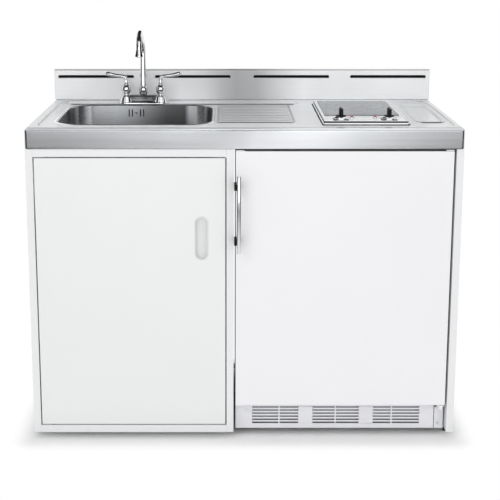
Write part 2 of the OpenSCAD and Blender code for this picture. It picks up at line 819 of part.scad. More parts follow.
module pipe_nuts() color([0.78, 0.68, 0.40]) in_frame() {
    translate([bowl_cx, bowl_cy, bowl_z - sheet_t - 10]) tube(10, drain_d + 24, drain_d - 1);
    translate([bowl_cx, bowl_cy, tail_z1 - slip_h / 2])
        slip_nut(slip_h, 2 * outlet_r + 10, pipe_d, 2 * outlet_r);
    for (y = [bowl_cy, arm_y]) translate([bowl_cx, y, bend_top - slip_h / 2])
        slip_nut(slip_h, 2 * outlet_r + 10, 2 * outlet_r, pipe_d);
    for (s = [-1, 1]) translate([tap_x + s * valve_x, tap_y, field_z - sheet_t - tap_nut_h])
        tube(tap_nut_h, tail_d + 16, tail_d);
}

module strainer_basket() color(chrome_c) in_frame() translate([bowl_cx, bowl_cy, cup_z + face_gap]) {
    basket_d = drain_d - 1 - 2 * drain_t - 2;
    difference() {
        cylinder(h = drain_cup_h - 8, d = basket_d);
        translate([0, 0, 1.5]) cylinder(h = drain_cup_h, d = basket_d - 2.4);
        for (k = [0:9], r = [18, 30]) rotate(36 * k) translate([r, 0, -1]) cylinder(h = 4, d = 5);
    }
    cylinder(h = drain_cup_h - 4, d = 7);
    translate([0, 0, drain_cup_h - 6]) cylinder(h = 10, d1 = 10, d2 = 16);
}

module tailpiece() color(chrome_c) in_frame()
    translate([bowl_cx, bowl_cy, tail_z0]) tube(tail_len, pipe_d, pipe_d - 2 * pipe_t);

// A bend of tube about local Z, from local X onwards
module bend(angle, radius, d, bore) rotate_extrude(angle = angle) translate([radius, 0]) difference() {
    circle(d = d);
    circle(d = bore);
}

module trap_bend() color(chrome_c) in_frame() {
    translate([bowl_cx, bowl_cy + trap_r, bend_z]) rotate([-90, 0, -90])
        bend(180, trap_r, 2 * outlet_r, pipe_d);
    for (y = [bowl_cy, arm_y]) translate([bowl_cx, y, bend_z])
        tube(bend_top - bend_z, 2 * outlet_r, pipe_d);
}

module trap_arm() color(chrome_c) in_frame() {
    bore = pipe_d - 2 * pipe_t;
    translate([bowl_cx, arm_y, tail_z0]) tube(arm_z - arm_r - tail_z0, pipe_d, bore);
    translate([bowl_cx, arm_y + arm_r, arm_z - arm_r]) rotate([90, 0, -90]) bend(90, arm_r, pipe_d, bore);
    translate([bowl_cx, carcass_back, arm_z]) rotate([90, 0, 0])
        tube(carcass_back - arm_y - arm_r, pipe_d, bore);
}

// ---------------------------------------------------------------- tap

module valve_body() rotate_extrude() polygon([
    [0, 0], [valve_r, 0], [valve_r, 5], [valve_r - 4, 9], [valve_r - 8, 22],
    [valve_r - 10, 34], [valve_r - 10, 40], [valve_r - 8, 44], [valve_r - 8, 50],
    [valve_r - 12, valve_h], [0, valve_h]
]);

module faucet_base() color(chrome_c) in_frame() translate([tap_x, tap_y, 0]) difference() {
    union() {
        translate([0, 0, ledge_z]) linear_extrude(deck_h) slot2d(deck_w - 8, deck_d - 8);
        translate([0, 0, ledge_z]) linear_extrude(5) slot2d(deck_w, deck_d);
        for (s = [-1, 1]) translate([s * valve_x, 0, 0]) {
            translate([0, 0, ledge_z]) valve_body();
            translate([0, 0, shank_z]) cylinder(h = ledge_z - shank_z, d = tail_d);
            translate([0, 0, shank_z - supply_len]) cylinder(h = supply_len, d = supply_d);
        }
    }
    translate([0, 0, deck_top - socket_depth]) cylinder(h = socket_depth + 1, d = spout_d + 2 * fit);
    for (s = [-1, 1]) translate([s * valve_x, 0, 0]) {
        translate([0, 0, shank_z - supply_len - 1]) cylinder(h = supply_len + 10, d = supply_d - 6);
        translate([0, 0, valve_top - 10]) cylinder(h = 11, d = stem_d);
    }
}

module spout_nut() color(chrome_c) in_frame() translate([tap_x, tap_y, deck_top]) difference() {
    rotate_extrude() polygon([[0, 0], [12, 0], [14, 3], [14, 11], [12, 15], [10, nut_h], [0, nut_h]]);
    translate([0, 0, -1]) cylinder(h = nut_h + 2, d = spout_d + 2 * fit);
}

// A swan neck: the riser, a bend into the rising neck, and the bend over to the tip.
// The neck is a hair thicker than the bends it reaches into.
module spout() color(chrome_c) in_frame() translate([tap_x, tap_y, 0]) {
    low_z = deck_top - socket_depth + 2;
    bore = spout_d - 3;
    translate([0, 0, low_z]) tube(riser_top - low_z, spout_d, bore);
    translate([0, -spout_r, riser_top]) {
        rotate([90, 0, 90]) bend(90 - neck_rise, spout_r, spout_d, bore);
        translate([0, spout_r * sin(neck_rise), spout_r * cos(neck_rise)]) rotate([90 - neck_rise, 0, 0])
            translate([0, 0, -fit]) tube(neck_len + 2 * fit, spout_d + 2 * fit, bore - 2 * fit);
    }
    translate([0, -spout_reach + spout_r, spout_end]) rotate([90, 0, -90])
        bend(90 + neck_rise, spout_r, spout_d, bore);
    translate([0, -spout_reach, tip_z]) tube(spout_tip, spout_d, bore);
}

module aerator() color(chrome_c) in_frame() translate([tap_x, tap_y - spout_reach, tip_z - 2])
    difference() {
        translate([0, 0, 12 - aerator_h]) cylinder(h = aerator_h, d = aerator_d);
        translate([0, 0, 2]) cylinder(h = aerator_h, d = spout_d);
        translate([0, 0, 11 - aerator_h]) cylinder(h = aerator_h, d = spout_d - 4);
    }

module lever(side) translate([side * valve_x, 0, valve_top + face_gap]) difference() {
    union() {
        cylinder(h = 9, r1 = 11, r2 = 8);
        translate([0, 0, 9]) cylinder(h = 12, r = 8);
        translate([0, 0, 21]) sphere(8);
        translate([0, 0, 21]) rotate([0, side * (90 - lever_rise), 0]) {
            cylinder(h = lever_len, r1 = 5, r2 = 6);
            translate([0, 0, lever_len]) sphere(6);
        }
    }
    translate([0, 0, -1]) cylinder(h = stem_len + 1 + face_gap, d = stem_d + 2 * fit);
}

module hot_lever() color(chrome_c) in_frame() translate([tap_x, tap_y, 0]) lever(-1);

module cold_lever() color(chrome_c) in_frame() translate([tap_x, tap_y, 0]) lever(1);

module valve_stems() color([0.80, 0.70, 0.42]) in_frame() for (s = [-1, 1])
    translate([tap_x + s * valve_x, tap_y, valve_top - 10]) cylinder(h = 10 + stem_len, d = stem_d);

// ---------------------------------------------------------------- hob

module hob_frame() color(steel) in_frame() difference() {
    union() {
        translate([hob_cx, hob_cy, field_z]) difference() {
            linear_extrude(hob_h) rrect(hob_w, hob_d, 6);
            translate([0, 0, -1]) linear_extrude(hob_h + 1 - sheet_t)
                rrect(hob_w - 2 * sheet_t, hob_d - 2 * sheet_t, 6 - sheet_t);
        }
        translate([hob_cx, glass_cy, ledge_under]) linear_extrude(hob_z - ledge_under)
            square([well_w, well_d], center = true);
    }
    translate([hob_cx, glass_cy, hob_z - glass_t]) linear_extrude(glass_t + 1)
        square([glass_w + 2 * seat_gap, glass_d + 2 * seat_gap], center = true);
    translate([hob_cx, glass_cy, ledge_under - 1]) linear_extrude(glass_t + sheet_t)
        square([glass_w - 2 * glass_ledge, glass_d - 2 * glass_ledge], center = true);
    for (s = [-1, 1]) {
        translate([hob_cx + s * knob_pitch / 2, knob_y, field_z]) cylinder(h = hob_h + 1, d = shaft_d + 2);
        translate([hob_cx + s * pilot_pitch / 2, pilot_y, field_z]) cylinder(h = hob_h + 1, d = pilot_d);
    }
}

module hob_glass() color([0.20, 0.21, 0.22]) in_frame() translate([hob_cx, glass_cy, hob_z - glass_t])
    linear_extrude(glass_t) square([glass_w, glass_d], center = true);

module hob_pan() color(steel) in_frame() difference() {
    span([hob_cx - well_w / 2, pan_front, pan_z], [hob_cx + well_w / 2, pan_front + pan_d, ledge_under]);
    span([hob_cx - well_w / 2 + sheet_t, pan_front + sheet_t, pan_z + sheet_t],
         [hob_cx + well_w / 2 - sheet_t, pan_front + pan_d - sheet_t, ledge_under + 1]);
}

module heater(y, d) translate([hob_cx, y, heater_z - heater_h]) {
    difference() {
        cylinder(h = heater_h, d = d);
        translate([0, 0, 4]) cylinder(h = heater_h, d = d - 16);
    }
    translate([0, 0, 4]) for (r = [12:12:d / 2 - 14]) tube(6, 2 * r + 5, 2 * r);
    for (s = [-1, 1]) translate([s * d / 4, 0, pan_z + sheet_t - heater_z + heater_h])
        cylinder(h = heater_z - heater_h - pan_z - sheet_t, d = 8);
}

module heating_elements() color([0.55, 0.53, 0.50]) in_frame() {
    heater(front_heater_y, heater_front_d);
    heater(rear_heater_y, heater_rear_d);
}

module hob_knob(side) translate([hob_cx + side * knob_pitch / 2, knob_y, knob_z]) difference() {
    union() {
        cylinder(h = knob_skirt_h, d1 = knob_d, d2 = knob_d - 6);
        intersection() {
            translate([-grip_w / 2, -knob_d / 2, 0]) cube([grip_w, knob_d, knob_h]);
            cylinder(h = knob_h, d = knob_d - 4);
        }
    }
    translate([0, 0, -1]) cylinder(h = knob_h - 8, d = shaft_d + 2 * fit);
}

module left_knob() color(black) in_frame() hob_knob(-1);

module right_knob() color(black) in_frame() hob_knob(1);

module energy_regulators() color([0.30, 0.30, 0.32]) in_frame() for (s = [-1, 1])
    translate([hob_cx + s * knob_pitch / 2, knob_y, hob_z - sheet_t - regulator_h]) {
        translate([-regulator_w / 2, -regulator_w / 2 + 4, 0]) cube([regulator_w, regulator_w, regulator_h]);
        cylinder(h = regulator_h + sheet_t + face_gap + knob_h - 10, d = shaft_d);
    }

module pilot_lights() color([0.75, 0.10, 0.08]) in_frame() for (s = [-1, 1])
    translate([hob_cx + s * pilot_pitch / 2, pilot_y, hob_z - 12]) {
        cylinder(h = 12, d = pilot_d);
        translate([0, 0, 12]) cylinder(h = 1, d = pilot_d + 3);
        translate([0, 0, 13]) intersection() {
            translate([0, 0, -2]) sphere(r = pilot_d / 2 + 1);
            cylinder(h = pilot_d, d = pilot_d);
        }
    }

// ---------------------------------------------------------------- sink cabinet

module side_board(x, notch) difference() {
    span([x, overhang, foot_h], [x + board_t, carcass_back, body_top]);
    if (notch) span([x - 1, rear_rail_y, rear_rail_z], [x + board_t + 1, unit_d, unit_h]);
}

module left_side() color(white) in_frame() side_board(-half_w, false);

module partition() color(white) in_frame() side_board(inner_x1, true);

module right_panel() color(white) in_frame() side_board(bay_x1, false);

module cabinet_floor() color(white) in_frame()
    span([inner_x0, overhang, foot_h], [inner_x1, carcass_back, floor_top]);

module top_rail() color(white) in_frame()
    span([inner_x0, overhang, body_top - rail_h], [inner_x1, overhang + rail_d, body_top]);

module rear_rail() color(white) in_frame() difference() {
    span([inner_x0, rear_rail_y, rear_rail_z], [bay_x1, carcass_back, body_top]);
    for (s = [-1, 1])
        translate([(inner_x0 + inner_x1) / 2 + s * fixing_pitch / 2, rear_rail_y - 1,
                   rear_rail_z + rear_rail_h / 2])
            upright(rear_rail_t + 2) circle(d = fixing_d);
}

module back_panel() color(white) in_frame()
    span([inner_x0, carcass_back - back_t, floor_top], [inner_x1, carcass_back, floor_top + back_h]);

module cabinet_door() color(door_white) in_frame() difference() {
    span([cdoor_x0, overhang, cdoor_z0], [cdoor_x0 + cdoor_w, overhang + door_t, cdoor_z1]);
    for (z = [cdoor_z0 - 1, cdoor_z1 - bush_len])
        translate([pivot_x, pivot_y, z]) cylinder(h = bush_len + 1, d = bush_d);
    translate([pull_x, overhang - 1, pull_cz]) upright(pull_depth + 1 + face_gap) rotate(90)
        slot2d(pull_h - 2 * pull_rim + seat_gap, pull_w - 2 * pull_rim + seat_gap);
}

module finger_pull() color(door_white) in_frame() translate([pull_x, 0, pull_cz]) difference() {
    union() {
        translate([0, overhang - 0.8, 0]) upright(0.8) rotate(90) slot2d(pull_h, pull_w);
        translate([0, overhang, 0]) upright(pull_depth)
            rotate(90) slot2d(pull_h - 2 * pull_rim, pull_w - 2 * pull_rim);
    }
    translate([0, overhang - 1, 0]) upright(pull_depth + 1 - pull_wall)
        rotate(90) slot2d(pull_h - 2 * (pull_rim + pull_wall), pull_w - 2 * (pull_rim + pull_wall));
}

module door_fittings() color([0.75, 0.75, 0.75]) in_frame() {
    for (z = [cdoor_z0, cdoor_z1 - bush_len])
        translate([pivot_x, pivot_y, z]) tube(bush_len, bush_d, pivot_d + 2 * fit);
    translate([pull_x, overhang + door_t, cdoor_z1 - 2])
        span([-strike_w / 2, 0, -strike_h], [strike_w / 2, strike_t, 0]);
}

module cabinet_pivots() color([0.70, 0.71, 0.72]) in_frame() {
    plate_w = pivot_x - inner_x0 + pivot_plate_end;
    pin_h = door_gap - pivot_plate_t + bush_len - 2;
    for (top = [0, 1]) translate([0, 0, top ? body_top - rail_h : floor_top]) mirror([0, 0, top]) {
        span([inner_x0, overhang + 1, 0], [inner_x0 + plate_w, overhang + door_t, pivot_plate_t]);
        translate([pivot_x, pivot_y, pivot_plate_t]) cylinder(h = pin_h, d = pivot_d);
    }
}

module door_catch() color([0.35, 0.35, 0.36]) in_frame()
    translate([pull_x, overhang + door_t + strike_t + face_gap, body_top - rail_h])
        span([-strike_w / 2 - 2, 0, -catch_h], [strike_w / 2 + 2, 16, 0]);

module foot(x, y, h, r) translate([x, y, 0]) {
    cylinder(h = 6, r = r);
    cylinder(h = h, d = 8);
    translate([0, 0, h - 2]) cylinder(h = 2, r = min(r, 8));
}

module levelling_feet() color([0.25, 0.25, 0.26]) in_frame() {
    for (x = [-half_w + board_t / 2, inner_x1 + board_t / 2, bay_x1 + board_t / 2],
         y = [overhang + 58, carcass_back - 42]) foot(x, y, foot_h, board_t / 2 - 0.5);
    for (x = [fridge_x0 + 34, fridge_x1 - 34], y = [fridge_y + 26, fridge_back - 26])
        foot(x, y, tray_z, 16);
}

// ---------------------------------------------------------------- refrigerator body

// An outline drawn in Y and Z, made into a block along X
module along_x(x, w) translate([x, 0, 0]) rotate([90, 0, 90]) linear_extrude(w) children();

// The cabinet's inside, stepped over the compressor, drawn in Y and Z
module cavity2d(front, inset) polygon([
    [front, cavity_z0 + inset], [hump_y - inset, cavity_z0 + inset],
    [hump_y - inset, hump_z + inset], [cavity_back - inset, hump_z + inset],
    [cavity_back - inset, cavity_z1 - inset], [front, cavity_z1 - inset]
]);

module hinge_screw_holes(z, depth) for (p = hinge_screws)
    translate([p[0], p[1], z - depth]) cylinder(h = depth + 1, d = screw_d);

module fridge_shell() color(white) in_frame() difference() {
    span([fridge_x0, fridge_y, tray_z + tray_t], [fridge_x1, fridge_back, fridge_z1]);
    span([fridge_x0 + skin_t, fridge_y - 1, tray_z], [fridge_x1 - skin_t, fridge_back + 1, fridge_z1 - skin_t]);
    hinge_screw_holes(fridge_z1, 10);
}

module fridge_foam() color([0.93, 0.90, 0.78]) in_frame() difference() {
    along_x(fridge_x0 + skin_t, fridge_w - 2 * skin_t) polygon([
        [fridge_y + liner_t, fdoor_z0], [fridge_back - machine_d, fdoor_z0],
        [fridge_back - machine_d, fdoor_z0 + machine_h], [fridge_back, fdoor_z0 + machine_h],
        [fridge_back, fridge_z1 - skin_t], [fridge_y + liner_t, fridge_z1 - skin_t]
    ]);
    along_x(cavity_x0, cavity_w) cavity2d(fridge_y - 1, 0);
    hinge_screw_holes(fridge_z1, 14);
}

module fridge_liner() color(white) in_frame() {
    difference() {
        union() {
            along_x(cavity_x0, cavity_w) cavity2d(fridge_y, 0);
            span([fridge_x0 + skin_t, fridge_y, fdoor_z0], [fridge_x1 - skin_t, fridge_y + liner_t, fridge_z1 - skin_t]);
        }
        along_x(cavity_x0 + liner_t, cavity_w - 2 * liner_t) cavity2d(fridge_y - 1, liner_t);
    }
    for (z = [shelf_z[1], shelf_z[2]], x = [cavity_x0 + liner_t, cavity_x0 + cavity_w - liner_t - 8])
        span([x, shelf_y, z - bead_h], [x + 8, cavity_back - liner_t, z]);
}

module glass_shelves() color([0.75, 0.85, 0.85]) in_frame() for (k = [0:2])
    span([cavity_x0 + liner_t + 1, shelf_y, shelf_z[k]],
         [cavity_x0 + cavity_w - liner_t - 1, cavity_back - liner_t - 4, shelf_z[k] + shelf_t]);

module crisper() color([0.85, 0.90, 0.93]) in_frame() {
    x0 = cavity_x0 + liner_t + 6;
    x1 = cavity_x0 + cavity_w - liner_t - 6;
    z0 = cavity_z0 + liner_t;
    difference() {
        span([x0, shelf_y, z0], [x1, hump_y - liner_t - 2, z0 + crisper_h]);
        span([x0 + crisper_t, shelf_y + crisper_t, z0 + crisper_t],
             [x1 - crisper_t, hump_y - liner_t - 2 - crisper_t, z0 + crisper_h + 1]);
    }
}

module cold_plate() color([0.82, 0.84, 0.86]) in_frame() {
    cx = cavity_x0 + cavity_w / 2;
    y1 = cavity_back - liner_t;
    z0 = cavity_z1 - liner_t - 30 - cold_h;
    span([cx - cold_w / 2, y1 - 3.5, z0], [cx + cold_w / 2, y1 - 2, z0 + cold_h]);
    for (x = [cx - cold_w / 3, cx + cold_w / 3], z = [z0 + 20, z0 + cold_h - 20])
        translate([x, y1 - 2, z]) upright(2) circle(d = 12);
}

module thermostat_box() color(white) in_frame() {
    z1 = cavity_z1 - liner_t;
    span([dial_x - stat_w / 2, dial_y, z1 - stat_h], [dial_x + stat_w / 2, dial_y + stat_d, z1]);
    translate([dial_x, dial_y - 12, dial_z]) upright(12) circle(d = shaft_d);
}

module thermostat_dial() color([0.88, 0.89, 0.90]) in_frame() translate([dial_x, dial_y - face_gap - 14, dial_z])
    difference() {
        union() {
            translate([0, 6, 0]) upright(8) circle(d = dial_d);
            upright(6) intersection() {
                circle(d = dial_d - 2);
                square([8, dial_d], center = true);
            }
        }
        translate([0, 2, 0]) upright(14) circle(d = shaft_d + 2 * fit);
    }

module fridge_base() color([0.55, 0.56, 0.57]) in_frame() {
    x0 = fridge_x0 + skin_t;
    x1 = fridge_x1 - skin_t;
    y0 = fridge_y + liner_t;
    span([fridge_x0, y0, tray_z], [fridge_x1, fridge_back, tray_z + tray_t]);
    for (x = [x0, x1 - tray_t]) span([x, y0, tray_z], [x + tray_t, fridge_back - machine_d, fdoor_z0]);
    span([x0, y0, tray_z], [x1, y0 + tray_t, fdoor_z0]);
    for (x = [cab_x1, fridge_x1])
        span([x, fridge_back - 60, tray_z], [x == cab_x1 ? fridge_x0 : bay_x1, fridge_back - 20, tray_z + tray_t]);
}

// The compressor's shell on its plate and four rubber feet
module compressor() color(black) in_frame() translate([compressor_x, compressor_y, compressor_z]) {
    foot_x = compressor_d / 2 - 11;
    foot_y = compressor_d / 2 - 27;
    plate_z = 12;
    plate_t = 3;
    for (x = [-foot_x, foot_x], y = [-foot_y, foot_y]) translate([x, y, 0]) cylinder(h = plate_z, d = 16);
    span([-foot_x - 14, -foot_y - 12, plate_z], [foot_x + 14, foot_y + 12, plate_z + plate_t]);
    translate([0, 0, plate_z + plate_t]) rotate_extrude() intersection() {
        translate([0, compressor_h / 2]) rrect(compressor_d, compressor_h, 38);
        square([compressor_d, compressor_h]);
    }
}

// A tube that runs to and fro, with upright wires close behind it and four lugs to the body
module condenser() color(black) in_frame() translate([condenser_x0, condenser_y, condenser_z0]) {
    wire_y = (condenser_tube + condenser_wire) / 2 + fit;
    wire_step = (condenser_w - 40) / (condenser_wires - 1);
    for (k = [0:condenser_rows - 1]) translate([0, 0, k * condenser_pitch]) rotate([0, 90, 0])
        cylinder(h = condenser_w, d = condenser_tube);
    for (k = [0:condenser_rows - 2])
        translate([k % 2 == 0 ? condenser_w : 0, 0, (k + 0.5) * condenser_pitch])
            rotate([90, k % 2 == 0 ? 90 : -90, 0]) rotate_extrude(angle = 180)
                translate([condenser_pitch / 2, 0]) circle(d = condenser_tube);
    for (k = [0:condenser_wires - 1]) translate([20 + k * wire_step, wire_y, -10])
        cylinder(h = condenser_h + 20, d = condenser_wire);
    for (x = [8, condenser_w - 8], z = [0, condenser_h])
        span([x - 4, fridge_back - condenser_y, z - 1], [x + 4, 0, z + 1]);
}

// ---------------------------------------------------------------- kick grille

module kick_grille() color(white) in_frame() {
    y1 = kick_back + kick_t;
    clip = 10;
    difference() {
        span([fdoor_x0, kick_back, foot_h], [grille_x1, y1, grille_z1]);
        for (g = [0:slot_groups - 1], k = [0:slot_rows - 1])
            translate([fdoor_x0 + slot_start + g * slot_group + slot_len / 2, kick_back - 1,
                       foot_h + 17 + k * slot_pitch])
                upright(kick_t + 2) slot2d(slot_len, slot_h);
    }
    for (x = [fdoor_x0 + 2 * clip, (fdoor_x0 + grille_x1) / 2, grille_x1 - 3 * clip])
        span([x, y1, grille_z1 - 12], [x + clip, fridge_y + liner_t, grille_z1 - 8]);
    difference() {
        span([block_x0, kick_back, foot_h], [block_x0 + block_w, y1, foot_h + block_h]);
        translate([screw_x, kick_back - 1, grille_screw_z]) upright(kick_t + 2) circle(d = screw_d);
    }
    span([block_x0 + 4, y1, foot_h + 3 * clip], [block_x0 + 18, fridge_y - 1, foot_h + 4 * clip]);
}

// ---------------------------------------------------------------- refrigerator door

module fridge_door_skin() color(white) in_frame() difference() {
    span([fdoor_x0, overhang, fdoor_z0], [fdoor_x1, fdoor_back, fdoor_z1]);
    span([fdoor_x0 + skin_t, overhang + skin_t, fdoor_z0 - 1],
         [fdoor_x1 - skin_t, fdoor_back + 1, fdoor_z1 + 1]);
}

module fridge_door_foam() color([0.93, 0.90, 0.78]) in_frame()
    span([fdoor_x0 + skin_t, overhang + skin_t, fdoor_z0 + cap_h],
         [fdoor_x1 - skin_t, fdoor_back - liner_t, fdoor_z1 - cap_h]);

module door_caps() color(white) in_frame() for (top = [0, 1])
    translate([0, 0, top ? fdoor_z1 : fdoor_z0]) mirror([0, 0, top]) {
        difference() {
            span([fdoor_x0 + skin_t, overhang + skin_t, 0], [fdoor_x1 - skin_t, fdoor_back - liner_t, cap_h]);
            translate([hinge_x, hinge_y, -1]) cylinder(h = cap_h, d = hinge_pin_d + 2 * fit);
        }
        span([fdoor_x0 + skin_t, overhang + skin_t, -corner_h],
             [fdoor_x0 + corner_w, overhang + skin_t + 22, 0]);
    }

module fridge_door_liner() color(white) in_frame() {
    span([fdoor_x0 + skin_t, fdoor_back - liner_t, fdoor_z0], [fdoor_x1 - skin_t, fdoor_back, fdoor_z1]);
    for (x = [dyke_x0, dyke_x0 + dyke_w - dyke_t])
        span([x, fdoor_back, dyke_z0], [x + dyke_t, fdoor_back + dyke_d, dyke_z0 + dyke_h]);
    for (z = [dyke_z0, dyke_z0 + dyke_h - dyke_t])
        span([dyke_x0, fdoor_back, z], [dyke_x0 + dyke_w, fdoor_back + dyke_d, z + dyke_t]);
}

module door_gasket() color([0.85, 0.85, 0.86]) in_frame() {
    x0 = fdoor_x0 + 20;
    x1 = fdoor_x1 - 20;
    z0 = fdoor_z0 + 14;
    z1 = fdoor_z1 - 16;
    difference() {
        span([x0, fdoor_back, z0], [x1, fdoor_back + gasket_t, z1]);
        span([x0 + gasket_w, fdoor_back - 1, z0 + gasket_w], [x1 - gasket_w, fridge_y + 1, z1 - gasket_w]);
    }
}

module door_bins() color([0.85, 0.90, 0.93]) in_frame() for (bz = bin_z) {
    x0 = dyke_x0 + dyke_t;
    x1 = dyke_x0 + dyke_w - dyke_t;
    z0 = dyke_z0 + dyke_t + bz;
    difference() {
        span([x0, fdoor_back, z0], [x1, fdoor_back + bin_d, z0 + bin_h]);
        span([x0 + bin_t, fdoor_back - 1, z0 + bin_t], [x1 - bin_t, fdoor_back + bin_d - bin_t, z0 + bin_h + 1]);
    }
}

module handle_bar() color(chrome_c) in_frame()
    translate([handle_x, handle_y, bar_z0]) cylinder(h = bar_len, d = bar_d);

module handle_brackets() color(black) in_frame() difference() {
    for (z = bracket_z) span([bracket_x0, handle_y - 1, z - bracket_h / 2],
                             [bracket_x0 + bracket_w, overhang, z + bracket_h / 2]);
    translate([handle_x, handle_y, bar_z0 - 1]) cylinder(h = bar_len + 2, d = bar_d);
}

module fridge_hinges() color(white) in_frame() {
    plate_y = overhang + 2;
    low_x1 = fridge_x1 - skin_t;
    boss_h = 12;
    pin_in = cap_h - 2;
    difference() {
        span([hinge_x0, plate_y, fridge_z1], [fridge_x1, fridge_y + hinge_arm, fridge_z1 + hinge_t]);
        hinge_screw_holes(fridge_z1 + hinge_t, hinge_t + 1);
    }
    translate([hinge_x, hinge_y, fdoor_z1 - pin_in])
        cylinder(h = fridge_z1 - fdoor_z1 + pin_in + 1, d = hinge_pin_d);
    span([hinge_x0, plate_y, hinge_z - hinge_t], [low_x1, fridge_y + liner_t, hinge_z]);
    span([hinge_x0, fridge_y - 1, foot_h + 26], [low_x1, fridge_y + liner_t, hinge_z]);
    translate([hinge_x, hinge_y, hinge_z - hinge_t - boss_h]) cylinder(h = boss_h, d = hinge_pin_d + 3);
    translate([hinge_x, hinge_y, hinge_z - hinge_t])
        cylinder(h = hinge_t + hinge_gap + pin_in - 1, d = hinge_pin_d);
}

// A pan-head screw along Z, its head's seat at the origin
module screw(len) {
    translate([0, 0, -len]) cylinder(h = len + eps, d = screw_d);
    difference() {
        cylinder(h = 1.8, d = 8);
        for (a = [0, 90]) rotate(a) translate([-2.2, -0.4, 1]) cube([4.4, 0.8, 1]);
    }
}

module screws() color(chrome_c) in_frame() {
    for (p = hinge_screws) translate([p[0], p[1], fridge_z1 + hinge_t]) screw(12);
    translate([screw_x, kick_back, grille_screw_z]) rotate([90, 0, 0]) screw(8);
    translate([overflow_x, bowl_back, overflow_z + overflow_h / 2]) rotate([90, 0, 0]) screw(8);
}

worktop();
backsplash();
sink_bowl();
overflow_pipe();
drain_body();
pipe_nuts();
strainer_basket();
tailpiece();
trap_bend();
trap_arm();
faucet_base();
spout_nut();
spout();
aerator();
hot_lever();
cold_lever();
valve_stems();
hob_frame();
hob_glass();
hob_pan();
heating_elements();
left_knob();
right_knob();
energy_regulators();
pilot_lights();
left_side();
partition();
cabinet_floor();
top_rail();
rear_rail();
back_panel();
cabinet_door();
finger_pull();
door_fittings();
cabinet_pivots();
door_catch();
levelling_feet();
right_panel();
fridge_shell();
fridge_foam();
fridge_liner();
glass_shelves();
crisper();
cold_plate();
thermostat_box();
thermostat_dial();
compressor();
condenser();
fridge_base();
kick_grille();
fridge_door_skin();
fridge_door_foam();
fridge_door_liner();
door_gasket();
door_caps();
door_bins();
handle_bar();
handle_brackets();
fridge_hinges();
screws();
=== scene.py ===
"""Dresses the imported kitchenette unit: pressed steel top, tap, hob, cabinet and refrigerator."""

import json
import math

import bmesh
import bpy
from mathutils import Matrix, Vector
from mathutils.geometry import delaunay_2d_cdt

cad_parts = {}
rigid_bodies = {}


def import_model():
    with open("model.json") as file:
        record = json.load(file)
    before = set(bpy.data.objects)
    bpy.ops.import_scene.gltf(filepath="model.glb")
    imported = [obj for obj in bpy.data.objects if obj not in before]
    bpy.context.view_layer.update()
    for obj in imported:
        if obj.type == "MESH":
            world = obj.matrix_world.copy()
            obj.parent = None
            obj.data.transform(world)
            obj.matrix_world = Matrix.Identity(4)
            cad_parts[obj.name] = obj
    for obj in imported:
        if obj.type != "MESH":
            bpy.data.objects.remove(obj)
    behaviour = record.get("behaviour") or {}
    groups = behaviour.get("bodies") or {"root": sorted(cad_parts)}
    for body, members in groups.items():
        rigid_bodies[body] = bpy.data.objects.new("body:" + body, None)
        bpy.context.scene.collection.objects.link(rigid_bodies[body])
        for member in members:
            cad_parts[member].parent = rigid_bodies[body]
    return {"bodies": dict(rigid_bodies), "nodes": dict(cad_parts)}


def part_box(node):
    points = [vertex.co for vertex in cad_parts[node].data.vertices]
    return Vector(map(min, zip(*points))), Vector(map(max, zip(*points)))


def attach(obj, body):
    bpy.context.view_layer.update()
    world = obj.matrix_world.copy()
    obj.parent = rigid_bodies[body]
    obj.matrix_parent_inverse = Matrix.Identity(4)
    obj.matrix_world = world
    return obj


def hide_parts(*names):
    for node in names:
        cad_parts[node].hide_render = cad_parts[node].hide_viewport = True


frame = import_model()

bl_info = {
    "name": "Kitchenette unit",
    "version": (1, 0, 0),
    "blender": (4, 5, 0),
    "location": "View3D > Sidebar > Kitchenette",
    "description": "Builds the visible pieces and finishes of a kitchenette unit with sink and hob",
    "category": "Add Mesh",
}

MM = 0.001
NODES = frame["nodes"]


def clear_start():
    """Takes away what Blender's start file brings, so that only the frame is left."""
    for item in list(bpy.data.objects):
        if item.name not in NODES and item not in frame["bodies"].values():
            bpy.data.objects.remove(item)


clear_start()
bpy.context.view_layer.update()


def span(node):
    """A node's box in millimetres: x0, x1, y0, y1, z0, z1."""
    low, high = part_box(node)
    return [value / MM for axis in range(3) for value in (low[axis], high[axis])]


def shade(red, green, blue):
    """A colour as a picture gives it, 0 to 255, as the linear colour that shaders take."""
    def straight(level):
        level /= 255
        return level / 12.92 if level <= 0.04045 else ((level + 0.055) / 1.055) ** 2.4
    return straight(red), straight(green), straight(blue), 1.0


def tone(colour, factor):
    """A colour made lighter or darker by one factor."""
    return tuple(min(1.0, part * factor) for part in colour[:3]) + (1.0,)


# ---- sizes and colours ----

TOP = span("worktop")
HOB = span("hob_frame")
PLATE = span("hob_glass")

# Pressed areas of the worktop in millimetres: left, right, and how far the near and far
# edges lie behind the worktop's front.
FIELD = (-580, 590, 28, 575)
LEDGE = (-562, 180, 505, 574)
DISH = (495, 585, 130, 500)
DRAINER = (-81, 151, 130, 485)
BOWL_LIP = (-540, -93, 97, 485)
SLOT_MIDDLES = (-474, -160, 160, 474)
TAP_REACH = 55
STRIP_DROP = 2.2

# Materials on the worktop pressing, after the first; the groove and crease ones are darkened steel,
# painted shade.
LIP, GROOVE_SHADE, CREASE_SHADE, APRON = 1, 2, 3, 4
